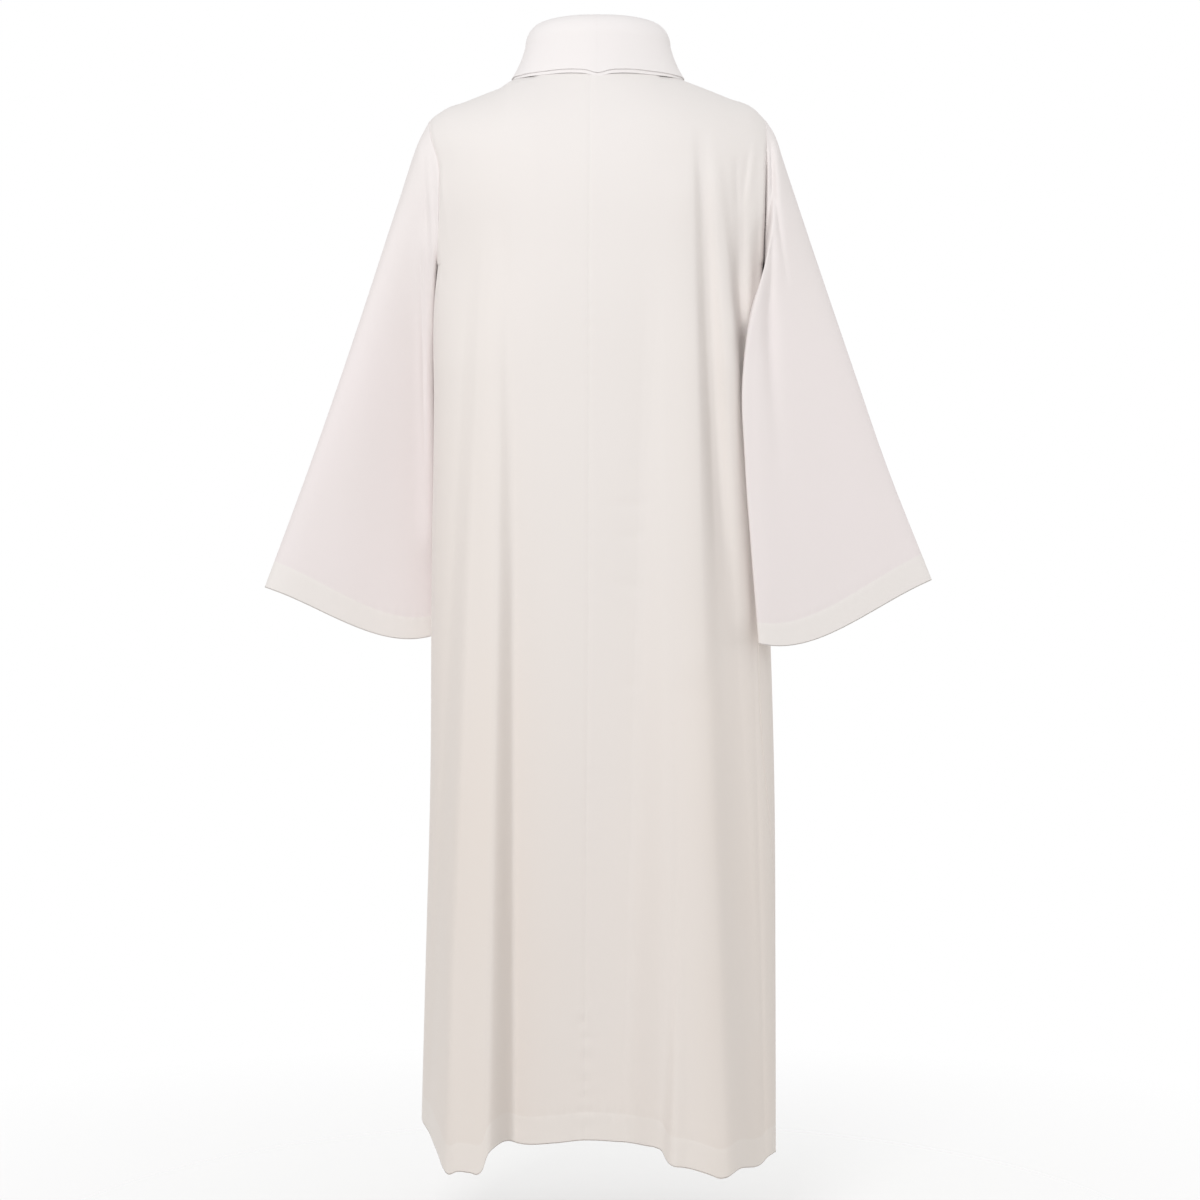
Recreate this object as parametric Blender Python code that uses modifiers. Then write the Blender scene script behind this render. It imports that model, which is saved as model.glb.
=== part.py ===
"""An alb: a full-length robe of smooth off-white cloth, hollow and held out in its worn pose.

Metres, +Z up. The wearer's front faces -Y and the wearer's left is +X. The origin lies between the
shoulders at the base of the neck, where the wearer holds the robe up. Every piece is cut and sewn:
two backs, two fronts, two wide sleeves, a turned-down collar in two halves, and the edge of the
under collar that shows below the fall of the collar.
"""
from collections import namedtuple

import bpy
import numpy as np

COLLECTION = "alb_robe"

# Cloth and seams
WALL = 0.0015                # thickness of the body, sleeve and collar cloth
UNDER_WALL = 0.0010          # thickness of the under collar
SEAM_GAP = 0.0003            # space left between two pieces at a seam
ARMHOLE_GAP = 0.0024         # space between the armhole edge and the sleeve head, inner faces
FRONT_GAP = 0.0009           # space between the two front edges, which meet but don't overlap
SEAM_PLACE = 0.0006          # half of a side seam's gap, as a share of the quarter plan

# Neckline and shoulders
NECK_HALF_WIDTH = 0.085
NECK_BACK_REACH = 0.062
NECK_FRONT_REACH = 0.075
NECK_BACK_HEIGHT = 0.010
NECK_SIDE_HEIGHT = 0.012
NECK_FRONT_HEIGHT = -0.055
NECK_DIP_POWER = 1.5         # how late the neckline dips on its way to the centre front
SHOULDER_TIP = 0.233         # from the centre line to the armhole, at the shoulder
SHOULDER_ROUND = 0.12        # depth over which the cloth turns from the shoulder to the back

# Armhole, an upright oval from the tip of the shoulder down
ARMHOLE_BOTTOM = -0.260
ARMHOLE_HALF_DEPTH = 0.062
UNDERARM_EASE = 0.24         # height over which the armhole's fullness leaves the body below it
ARMHOLE_EDGE_POWER = 30.0    # keeps the oval's own bottom close to the armhole's edge

# Plan of the body: a rounded oblong below the arms, flatter beside the armholes
PLAN_POWER = 2.6
ARMHOLE_PLAN_POWER = 3.0
PLAN_BLEND_TOP = -0.20
PLAN_BLEND_BOTTOM = -0.42
FOLD_FADE = 0.10             # share of the half width over which folds die away at the sides

# Grid
NECK_COLUMNS = 4
SIDE_COLUMNS = 10
YOKE_ROWS = 8
SKIRT_ROWS = 17
SLEEVE_AROUND = 20
SLEEVE_ALONG = 12
COLLAR_AROUND = 11
STAND_ROWS = 2
ROLL_ROWS = 4
FALL_ROWS = 3

Shoulder = namedtuple("Shoulder", "out height")
SHOULDER_LINE = (
    Shoulder(0.085, 0.012),
    Shoulder(0.130, -0.005),
    Shoulder(0.180, -0.0245),
    Shoulder(0.220, -0.0415),
    Shoulder(0.233, -0.055),
)

# Sections of the body, from the neck to the hem. side_left and side_right are how far back the
# outermost line of each side lies, and seam_x is where the centre-back seam runs.
Section = namedtuple("Section", "height left right back front side_left side_right seam_x")
SECTIONS = (
    Section(0.015, 0.233, 0.233, 0.074, 0.078, 0.000, 0.000, 0.010),
    Section(-0.055, 0.233, 0.233, 0.104, 0.094, 0.000, 0.000, 0.011),
    Section(-0.120, 0.231, 0.232, 0.122, 0.114, 0.000, 0.000, 0.011),
    Section(-0.260, 0.229, 0.229, 0.134, 0.124, 0.000, 0.000, 0.012),
    Section(-0.450, 0.231, 0.224, 0.138, 0.127, -0.006, 0.004, 0.012),
    Section(-0.700, 0.232, 0.236, 0.142, 0.132, -0.012, 0.010, 0.013),
    Section(-0.980, 0.234, 0.244, 0.148, 0.139, -0.018, 0.018, 0.015),
    Section(-1.240, 0.241, 0.245, 0.154, 0.147, -0.024, 0.026, 0.017),
    Section(-1.500, 0.248, 0.245, 0.160, 0.155, -0.030, 0.032, 0.018),
)

# How far each side seam wanders off the outermost line, as a share of the quarter plan: the
# right one swings towards the back between the arm and the knee.
Drift = namedtuple("Drift", "height left right")
SEAM_DRIFT = (
    Drift(-0.260, 0.00, 0.00),
    Drift(-0.450, 0.00, 0.10),
    Drift(-0.720, 0.00, 0.25),
    Drift(-0.930, 0.00, 0.25),
    Drift(-1.120, 0.00, 0.11),
    Drift(-1.500, 0.00, 0.03),
)

# Folds hang from the shoulder blades and the chest and open towards the hem. x is across the
# body, crest is half of the crest's width at the hem and the slopes are the widths of its two
# flanks there, the inner one towards the centre. rise is how far the crest would stand out at the
# hem (negative for a trough), power how late it grows, and end the height where it has died away.
Fold = namedtuple("Fold", "start x_start x_hem crest slope_in slope_out rise power end")
BACK_FOLDS = (
    Fold(-0.200, 0.150, 0.176, 0.027, 0.028, 0.042, 0.098, 1.35, -9.0),
    Fold(-0.150, -0.110, -0.134, 0.034, 0.070, 0.064, 0.056, 1.40, -9.0),
    Fold(-1.230, -0.134, -0.134, 0.036, 0.013, 0.050, 0.022, 1.00, -9.0),
    Fold(-0.080, -0.138, -0.200, 0.005, 0.022, 0.036, -0.034, 0.60, -0.80),
    Fold(-0.120, -0.192, -0.232, 0.004, 0.022, 0.022, -0.016, 0.60, -0.72),
)
FRONT_FOLDS = (
    Fold(-0.220, 0.120, 0.160, 0.020, 0.045, 0.060, 0.070, 1.25, -9.0),
    Fold(-0.200, -0.125, -0.150, 0.026, 0.040, 0.062, 0.076, 1.30, -9.0),
    Fold(-0.500, 0.052, 0.080, 0.012, 0.034, 0.032, 0.026, 1.20, -9.0),
    Fold(-0.600, -0.050, -0.074, 0.014, 0.034, 0.034, 0.022, 1.20, -9.0),
)
FOLD_START_SHARE = 0.45      # width of a fold where it starts, as a share of its width at the hem
FOLD_END_EASE = 0.35         # height over which a fold that ends early dies away

Hem = namedtuple("Hem", "x height")
BACK_HEM = (
    Hem(-0.245, -1.488),
    Hem(-0.215, -1.486),
    Hem(-0.181, -1.485),
    Hem(-0.105, -1.471),
    Hem(-0.088, -1.459),
    Hem(-0.040, -1.452),
    Hem(0.018, -1.449),
    Hem(0.080, -1.451),
    Hem(0.130, -1.449),
    Hem(0.152, -1.474),
    Hem(0.204, -1.480),
    Hem(0.226, -1.452),
    Hem(0.248, -1.448),
)
FRONT_HEM = (
    Hem(-0.245, -1.488),
    Hem(-0.150, -1.476),
    Hem(-0.080, -1.462),
    Hem(0.000, -1.458),
    Hem(0.080, -1.460),
    Hem(0.160, -1.470),
    Hem(0.248, -1.448),
)

# Sleeves: each station runs from the upper edge, on the arm, to the lower edge that hangs free.
# half is half of the greatest thickness and taper thins it towards the lower edge.
Station = namedtuple("Station", "run top_x top_y top_z low_x low_y low_z half taper sag")
LEFT_SLEEVE = (
    Station(0.00, 0.2330, 0.000, -0.055, 0.2305, 0.000, -0.2560, 0.062, 0.00, 0.000),
    Station(0.06, 0.2470, 0.000, -0.083, 0.2350, -0.014, -0.269, 0.060, 0.10, 0.000),
    Station(0.20, 0.2780, -0.003, -0.172, 0.2315, -0.036, -0.362, 0.056, 0.48, 0.002),
    Station(0.45, 0.3355, -0.010, -0.343, 0.2315, -0.048, -0.492, 0.050, 0.66, 0.006),
    Station(0.75, 0.4055, -0.018, -0.541, 0.2315, -0.056, -0.646, 0.046, 0.68, 0.014),
    Station(1.00, 0.4685, -0.026, -0.707, 0.2315, -0.060, -0.774, 0.042, 0.62, 0.022),
)
RIGHT_SLEEVE = (
    Station(0.00, -0.2330, 0.000, -0.055, -0.2300, 0.000, -0.2565, 0.062, 0.00, 0.000),
    Station(0.05, -0.2450, 0.002, -0.077, -0.2350, 0.018, -0.266, 0.060, 0.12, 0.000),
    Station(0.10, -0.2550, 0.003, -0.108, -0.2320, 0.046, -0.284, 0.057, 0.25, 0.000),
    Station(0.17, -0.2700, 0.005, -0.153, -0.2200, 0.076, -0.316, 0.052, 0.45, 0.001),
    Station(0.34, -0.3080, 0.010, -0.267, -0.1970, 0.105, -0.420, 0.047, 0.72, 0.004),
    Station(0.55, -0.3555, 0.016, -0.408, -0.2000, 0.113, -0.540, 0.045, 0.78, 0.009),
    Station(0.75, -0.3990, 0.020, -0.535, -0.2080, 0.114, -0.652, 0.044, 0.76, 0.014),
    Station(1.00, -0.4630, 0.022, -0.697, -0.2190, 0.108, -0.784, 0.042, 0.68, 0.022),
)
SAG_PEAK = 6.75              # makes the sag's share(1 - share) curve reach 1 at its peak

# Collar: each row is a place round the neck, in degrees from the centre back to the centre front.
# stand is the height of the roll's crest above the neckline and lean how far the stand tips
# inwards. From the crest the cloth turns over by roll_out and down by roll_down, and then falls
# to edge_out, measured out from the neckline, at edge_height.
Ring = namedtuple("Ring", "turn stand lean roll_in roll_out roll_down edge_out edge_height")
COLLAR_RINGS = (
    Ring(0.0, 0.072, 0.015, 0.005, 0.0255, 0.030, 0.0165, -0.0005),
    Ring(45.0, 0.071, 0.017, 0.005, 0.0295, 0.032, 0.0262, 0.0012),
    Ring(90.0, 0.070, 0.019, 0.005, 0.0320, 0.034, 0.0360, 0.0078),
    Ring(112.0, 0.066, 0.017, 0.005, 0.0310, 0.033, 0.0370, -0.0010),
    Ring(135.0, 0.057, 0.013, 0.005, 0.0270, 0.028, 0.0370, -0.0260),
    Ring(180.0, 0.044, 0.006, 0.004, 0.0210, 0.020, 0.0310, -0.0740),
)
COLLAR_SEAM_X = 0.0015       # where the collar's centre-back seam lies
COLLAR_FOOT_DROP = 0.0010    # how far the stand reaches down inside the neckline
COLLAR_INSET = 0.0019        # how far inside the neckline the stand is sewn
COLLAR_GAP = 0.0009          # space between the two halves at the centre back
COLLAR_FRONT_SPREAD = 9.0    # degrees by which the fall's points stand back from the centre front
COLLAR_FRONT_STAND = 1.0     # the same at the foot of the stand
NOTCH_DROP = 0.0040          # the fall's edge is drawn down at its centre-back seam
NOTCH_TURN = 12.0            # degrees over which that notch dies away
UNDER_SHOWS = 0.0055         # width of the under collar's edge that shows
UNDER_HIDDEN = 0.0120        # how far it runs up under the fall
UNDER_GAP = 0.0008           # space between the fall and the under collar

Finish = namedtuple("Finish", "red green blue roughness")
FINISHES = {
    "back": Finish(0.84, 0.81, 0.775, 0.62),
    "front": Finish(0.84, 0.81, 0.775, 0.62),
    "sleeve": Finish(0.85, 0.82, 0.79, 0.62),
    "collar": Finish(0.87, 0.85, 0.83, 0.60),
    "under_collar": Finish(0.88, 0.86, 0.83, 0.60),
}


def column(rows, name):
    """One named column of a table as an array."""
    return np.array([getattr(row, name) for row in rows])


def smooth_read(rows, key, name, at):
    """Read a table's column between its rows on a cubic curve with the rows' mean slopes."""
    keys, values = column(rows, key), column(rows, name)
    if keys[0] > keys[-1]:
        keys, values = keys[::-1], values[::-1]
    slopes = np.gradient(values, keys)
    at = np.clip(at, keys[0], keys[-1])
    cell = np.clip(np.searchsorted(keys, at) - 1, 0, len(keys) - 2)
    span = keys[cell + 1] - keys[cell]
    share = (at - keys[cell]) / span
    rest = 1.0 - share
    return (
        rest ** 2 * (1 + 2 * share) * values[cell]
        + share ** 2 * (3 - 2 * share) * values[cell + 1]
        + share * rest ** 2 * span * slopes[cell]
        - share ** 2 * rest * span * slopes[cell + 1]
    )


def ease(value):
    """0 below 0, 1 above 1, and a smooth step between them."""
    value = np.clip(value, 0.0, 1.0)
    return value * value * (3.0 - 2.0 * value)


def neck_point(turn):
    """A point of the neckline. turn is 0 at the centre back, half a turn at the centre front."""
    forward = np.cos(turn)
    reach = np.where(forward > 0, NECK_BACK_REACH, NECK_FRONT_REACH)
    end_height = np.where(forward > 0, NECK_BACK_HEIGHT, NECK_FRONT_HEIGHT)
    dip = np.abs(forward) ** NECK_DIP_POWER
    height = NECK_SIDE_HEIGHT + (end_height - NECK_SIDE_HEIGHT) * dip
    return NECK_HALF_WIDTH * np.sin(turn), reach * forward, height


def fold_height(folds, x, height, hem):
    """How far a set of folds stands out from the plain drape, at a place on it."""
    total = np.zeros_like(x)
    for fold in folds:
        down = np.clip((fold.start - height) / (fold.start - hem), 0.0, 1.0)
        middle = fold.x_start + (fold.x_hem - fold.x_start) * down
        grown = FOLD_START_SHARE + (1.0 - FOLD_START_SHARE) * down
        side = np.sign(fold.x_hem)
        off = (x - middle) * side
        slope = np.where(off < 0, fold.slope_in, fold.slope_out) * grown
        flank = 1.0 - (np.abs(off) - fold.crest * grown) / slope
        lasting = ease((height - fold.end) / FOLD_END_EASE)
        total += fold.rise * down ** fold.power * ease(flank) * lasting
    return total


def body_point(side, place, height, top_reach, top_height, back_piece):
    """A point of the draped body.

    side is 1 on the wearer's left and -1 on the right. place goes round the half plan, from 0 at
    the centre back through 1 at the side to 2 at the centre front. top_reach and top_height are
    the depth and height of the piece's upper edge above this point. back_piece says to which
    piece the side line itself belongs.
    """
    width = smooth_read(SECTIONS, "height", "left" if side > 0 else "right", height)
    share = np.sin(0.5 * np.pi * place)
    x = side * width * share
    behind = np.where(np.abs(place - 1.0) < SEAM_PLACE / 2, back_piece, place < 1.0)
    facing = np.where(behind, 1.0, -1.0)
    back = smooth_read(SECTIONS, "height", "back", height)
    front = smooth_read(SECTIONS, "height", "front", height)
    depth = np.where(behind, back, front)
    below = np.clip((top_height - height) / SHOULDER_ROUND, 0.0, 1.0)
    turned = np.sqrt(np.clip(1.0 - (1.0 - below) ** 2, 0.0, 1.0))
    middle = top_reach + (depth - top_reach) * turned

    centre = 0.5 * (top_height + ARMHOLE_BOTTOM)
    half = 0.5 * (top_height - ARMHOLE_BOTTOM)
    oval = ARMHOLE_HALF_DEPTH * np.sqrt(np.clip(1.0 - ((height - centre) / half) ** 2, 0.0, 1.0))
    eased = ARMHOLE_HALF_DEPTH * (1.0 - ease((centre - height) / UNDERARM_EASE))
    near_edge = np.abs(share) ** ARMHOLE_EDGE_POWER
    armhole = np.where(height > centre, oval, eased + (oval - eased) * near_edge)
    round_plan = np.clip(1.0 - np.abs(share) ** PLAN_POWER, 0.0, 1.0) ** (1.0 / PLAN_POWER)
    flat_plan = 1.0 - np.abs(share) ** ARMHOLE_PLAN_POWER
    blend = ease((PLAN_BLEND_TOP - height) / (PLAN_BLEND_TOP - PLAN_BLEND_BOTTOM))
    plan = flat_plan + (round_plan - flat_plan) * blend
    reach = np.maximum(armhole + (middle - armhole) * plan, 0.5 * SEAM_GAP)

    hem = SECTIONS[-1].height
    folds = np.where(behind, fold_height(BACK_FOLDS, x, height, hem),
                     fold_height(FRONT_FOLDS, x, height, hem))
    folds = folds * ease((1.0 - np.abs(share)) / FOLD_FADE)
    side_line = smooth_read(SECTIONS, "height", "side_left" if side > 0 else "side_right", height)
    y = facing * (reach + folds) + side_line * (1.0 - plan)
    return np.stack([x, y, height], axis=-1)


def body_panel(side, behind):
    """The inner face of one back or front, as a grid of points from its top edge to its hem."""
    seam_top = SECTIONS[0].seam_x if behind else 0.0
    first = np.arcsin(side * seam_top / NECK_HALF_WIDTH)
    turns = np.linspace(first, 0.5 * np.pi, NECK_COLUMNS + 1)
    neck_share = NECK_HALF_WIDTH * np.sin(turns) / SHOULDER_TIP
    neck_places = np.arcsin(neck_share) / (0.5 * np.pi)
    shoulder_places = np.linspace(neck_places[-1], 1.0, SIDE_COLUMNS + 1)[1:]
    top_places = np.concatenate([neck_places, shoulder_places])
    shares = (top_places - top_places[0]) / (1.0 - top_places[0])

    shoulder_x = SHOULDER_TIP * np.sin(0.5 * np.pi * shoulder_places)
    neck_turns = turns if behind else np.pi - turns
    _, neck_reach, neck_height = neck_point(neck_turns)
    top_reach = np.concatenate([np.abs(neck_reach), np.zeros(SIDE_COLUMNS)])
    top_height = np.concatenate([
        neck_height, smooth_read(SHOULDER_LINE, "out", "height", shoulder_x)])

    yoke = 0.5 - 0.5 * np.cos(np.pi * np.linspace(0.0, 1.0, YOKE_ROWS + 1))
    level = ARMHOLE_BOTTOM
    yoke_heights = top_height + (level - top_height) * yoke[:, None]
    down = np.linspace(0.0, 1.0, SKIRT_ROWS + 1)[1:, None]
    table = BACK_HEM if behind else FRONT_HEM
    width = smooth_read(SECTIONS, "height", "left" if side > 0 else "right", SECTIONS[-1].height)
    hem_x = side * width * np.sin(0.5 * np.pi * top_places)
    hem_height = smooth_read(table, "x", "height", hem_x)
    heights = np.concatenate([yoke_heights, level + (hem_height - level) * down])

    seam_x = smooth_read(SECTIONS, "height", "seam_x", heights) if behind else 0.0 * heights
    widths = smooth_read(SECTIONS, "height", "left" if side > 0 else "right", heights)
    gap = SEAM_GAP if behind else FRONT_GAP
    start = np.arcsin((side * seam_x + 0.5 * gap) / widths) / (0.5 * np.pi)
    drift = smooth_read(SEAM_DRIFT, "height", "left" if side > 0 else "right", heights)
    side_gap = SEAM_PLACE * (heights < ARMHOLE_BOTTOM)
    edge = 1.0 - drift - side_gap if behind else 1.0 - drift + side_gap
    start = start if behind else 2.0 - start
    return body_point(side, start + (edge - start) * shares, heights, top_reach, top_height,
                      behind)


def sleeve_tube(side, stations):
    """The inner face of a sleeve: an armhole oval that flattens on its way to the cuff."""
    run = np.linspace(0.0, 1.0, SLEEVE_ALONG + 1)[:, None]
    around = np.linspace(0.0, 2.0 * np.pi, SLEEVE_AROUND, endpoint=False)[None, :]
    share = 0.5 - 0.5 * np.cos(around)

    def read(name):
        return smooth_read(stations, "run", name, run)

    thick = read("half") * np.sin(around) * (1.0 - read("taper") * share)
    sag = read("sag") * SAG_PEAK * share ** 2 * (1.0 - share)
    start = side * ARMHOLE_GAP * (1.0 - run)
    x = read("top_x") + (read("low_x") - read("top_x")) * share + start
    y = read("top_y") + (read("low_y") - read("top_y")) * share + thick
    z = read("top_z") + (read("low_z") - read("top_z")) * share - sag
    return np.stack([x, y, z], axis=-1)


def collar_profile(turn, part, onward=0.0, inward=0.0):
    """The hidden face of the collar at one turn: up the stand, over the roll, down the fall.

    part is 0 at the foot, 1 at the top of the stand, 2 past the roll and 3 at the fall's edge.
    onward moves the point on down the fall and inward moves it under the fall, in metres.
    """
    degrees = np.degrees(np.abs(turn))
    neck_x, neck_y, neck_z = neck_point(turn)
    out_x, out_y = np.sin(turn), np.cos(turn)

    def read(name):
        return smooth_read(COLLAR_RINGS, "turn", name, degrees)

    lean, roll_down = read("lean"), read("roll_down")
    stand_top = read("stand") - roll_down
    notch = NOTCH_DROP * ease(1.0 - degrees / NOTCH_TURN)
    foot_part = np.clip(part, 0.0, 1.0)
    in_angle = 0.5 * np.pi * np.clip(2.0 * (part - 1.0), 0.0, 1.0)
    out_angle = 0.5 * np.pi * np.clip(2.0 * (part - 1.5), 0.0, 1.0)
    fall_part = np.clip(part - 2.0, 0.0, 1.0)
    out = -COLLAR_INSET - lean * foot_part
    up = -COLLAR_FOOT_DROP + (stand_top + COLLAR_FOOT_DROP) * foot_part
    out = out + read("roll_in") * (1.0 - np.cos(in_angle)) + read("roll_out") * np.sin(out_angle)
    up = up + roll_down * (np.sin(in_angle) - 1.0 + np.cos(out_angle))
    roll_end = read("roll_in") + read("roll_out") - lean - COLLAR_INSET
    fall_out = read("edge_out") - roll_end
    fall_up = read("edge_height") - neck_z - notch - stand_top
    length = np.hypot(fall_out, fall_up)
    reached = fall_part + onward / length
    out = out + fall_out * reached + inward * fall_up / length
    up = up + fall_up * reached - inward * fall_out / length
    return np.stack([neck_x + out * out_x, neck_y + out * out_y, neck_z + up], axis=-1)


def collar_turns(side, part, columns):
    """Turns round the neck for a row of the collar: its front end stands back along the fall."""
    first = (COLLAR_SEAM_X + 0.5 * side * COLLAR_GAP) / NECK_HALF_WIDTH
    fall = np.clip((part - 1.0) / 2.0, 0.0, 1.0)
    back_off = COLLAR_FRONT_STAND + (COLLAR_FRONT_SPREAD - COLLAR_FRONT_STAND) * fall
    last = side * (np.pi - np.radians(back_off))
    return first + (last - first) * np.linspace(0.0, 1.0, columns + 1)[None, :]


def collar_half(side):
    """The hidden face of one half of the collar."""
    parts = np.concatenate([
        np.linspace(0.0, 1.0, STAND_ROWS + 1)[:-1],
        1.0 + 0.5 - 0.5 * np.cos(np.pi * np.linspace(0.0, 1.0, ROLL_ROWS + 1)),
        2.0 + np.linspace(0.0, 1.0, FALL_ROWS + 1)[1:],
    ])[:, None]
    return collar_profile(collar_turns(side, parts, COLLAR_AROUND), parts)


def under_collar_edge(side):
    """The strip of under collar below the fall's edge, made from the fall's points moved in."""
    last = np.full((3, 1), 3.0)
    onward = np.array([[-UNDER_HIDDEN], [0.0], [UNDER_SHOWS]])
    turns = collar_turns(side, last, COLLAR_AROUND)
    return collar_profile(turns, last, onward, UNDER_GAP + UNDER_WALL)


def make_material(name, finish):
    """A Principled material of one plain colour."""
    material = bpy.data.materials.new(name)
    material.use_nodes = True
    shader = material.node_tree.nodes["Principled BSDF"]
    shader.inputs["Base Color"].default_value = (finish.red, finish.green, finish.blue, 1.0)
    shader.inputs["Roughness"].default_value = finish.roughness
    shader.inputs["Metallic"].default_value = 0.0
    return material


def make_cloth(name, grid, wall, material, collection, closed=False, flip=False):
    """Loft a grid of points into an open surface and give it the wall's thickness outwards."""
    rows, columns = grid.shape[:2]
    steps = columns if closed else columns - 1
    row, step = np.meshgrid(np.arange(rows - 1), np.arange(steps), indexing="ij")
    near = row * columns + step
    far = row * columns + (step + 1) % columns
    quads = np.stack([near, far, far + columns, near + columns], axis=-1).reshape(-1, 4)
    if flip:
        quads = quads[:, ::-1]
    mesh = bpy.data.meshes.new(name)
    mesh.from_pydata(grid.reshape(-1, 3).tolist(), [], quads.tolist())
    mesh.shade_smooth()
    mesh.materials.append(material)
    cloth = bpy.data.objects.new(name, mesh)
    collection.objects.link(cloth)
    solid = cloth.modifiers.new("Wall", "SOLIDIFY")
    solid.thickness = wall
    solid.offset = 1.0
    solid.use_even_offset = True
    return cloth


def clear_scene():
    """Take every object out of the scene."""
    for item in list(bpy.data.objects):
        bpy.data.objects.remove(item, do_unlink=True)


def main():
    """Cut and join every piece of the robe."""
    clear_scene()
    collection = bpy.data.collections.new(COLLECTION)
    bpy.context.scene.collection.children.link(collection)
    for side, word in ((1, "left"), (-1, "right")):
        left = side > 0
        back = make_material("back_cloth_" + word, FINISHES["back"])
        make_cloth("back_" + word, body_panel(side, True), WALL, back, collection, flip=not left)
        front = make_material("front_cloth_" + word, FINISHES["front"])
        make_cloth("front_" + word, body_panel(side, False), WALL, front, collection, flip=left)
        sleeve = make_material("sleeve_cloth_" + word, FINISHES["sleeve"])
        stations = LEFT_SLEEVE if left else RIGHT_SLEEVE
        make_cloth("sleeve_" + word, sleeve_tube(side, stations), WALL, sleeve, collection,
                   closed=True, flip=left)
        collar = make_material("collar_cloth_" + word, FINISHES["collar"])
        make_cloth("collar_" + word, collar_half(side), WALL, collar, collection, flip=not left)
        under = make_material("under_collar_cloth_" + word, FINISHES["under_collar"])
        make_cloth("under_collar_" + word, under_collar_edge(side), UNDER_WALL, under, collection,
                   flip=not left)


main()
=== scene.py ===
"""Looks of an alb: a full-length robe of smooth off-white cloth, hollow, in its worn pose.

Metres, +Z up. The wearer's front faces -Y and the wearer's left is +X. Each cut piece of the robe
is one sheet of cloth: a grid of points on its inner face, worked out from sections, folds and
wrinkles, turned up at its hem, and given a wall outwards. The stitches are pieces of their own.
"""
from collections import namedtuple

import bpy
import numpy as np
from mathutils import Matrix, Vector


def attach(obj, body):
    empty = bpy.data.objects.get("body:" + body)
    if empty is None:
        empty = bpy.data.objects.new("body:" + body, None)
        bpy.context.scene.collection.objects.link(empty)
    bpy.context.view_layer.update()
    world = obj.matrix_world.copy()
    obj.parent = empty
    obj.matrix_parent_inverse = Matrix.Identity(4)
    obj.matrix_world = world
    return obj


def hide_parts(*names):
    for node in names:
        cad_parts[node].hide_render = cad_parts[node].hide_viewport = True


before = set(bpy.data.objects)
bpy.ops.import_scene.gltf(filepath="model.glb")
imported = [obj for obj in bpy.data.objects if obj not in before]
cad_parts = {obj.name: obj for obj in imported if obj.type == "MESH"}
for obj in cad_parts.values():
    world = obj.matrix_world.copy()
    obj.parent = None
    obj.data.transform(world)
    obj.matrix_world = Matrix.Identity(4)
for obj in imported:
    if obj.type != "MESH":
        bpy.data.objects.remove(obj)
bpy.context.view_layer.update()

bl_info = {
    "name": "Alb Robe",
    "version": (1, 0, 0),
    "blender": (4, 5, 0),
    "location": "3D View > Sidebar > Alb",
    "description": "Builds the cloth, threads and studio of a full-length alb",
    "category": "Object",
}

# ---- Cut of the robe, in metres ----

SEAM_GAP = 0.00004           # space left between two pieces at a seam
FRONT_GAP = 0.0009           # space between the two front edges
SEAM_PLACE = 0.0004          # half of a side seam's gap, as a share of the quarter plan
ARMHOLE_GAP = 0.0009         # space between the armhole edge and the sleeve head, inner faces

NECK_HALF_WIDTH = 0.085
NECK_BACK_REACH = 0.062
NECK_FRONT_REACH = 0.075
NECK_BACK_HEIGHT = 0.010
NECK_SIDE_HEIGHT = 0.012
NECK_FRONT_HEIGHT = -0.055
NECK_DIP_POWER = 1.5
SHOULDER_TIP = 0.233
SHOULDER_POWER = 0.42        # below 0.5 the cloth stands out more at the top of the back
SHOULDER_ROUND = 0.10

ARMHOLE_BOTTOM = -0.260
ARMHOLE_HALF_DEPTH = 0.062
UNDERARM_EASE = 0.24
ARMHOLE_BOXED = 0.4           # how far the armhole's lower half is squarer than an oval
ARMHOLE_EDGE_POWER = 140.0

PLAN_POWER = 2.6
ARMHOLE_PLAN_POWER = 3.0
PLAN_BLEND_TOP = -0.20
PLAN_BLEND_BOTTOM = -0.42
FOLD_FADE = 0.10             # share of the width over which the folds die away at the side
CREASE_FADE = 0.012          # the same for the creases
CREASE_TOP = 0.1             # share of the shoulder's rounding over which they die away at the top
FOLD_START_SHARE = 0.45
FOLD_END_EASE = 0.35

Shoulder = namedtuple("Shoulder", "out height")
SHOULDER_LINE = (
    Shoulder(0.085, 0.012), Shoulder(0.13, -0.005), Shoulder(0.18, -0.0245),
    Shoulder(0.22, -0.0415), Shoulder(0.233, -0.055),
)

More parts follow.
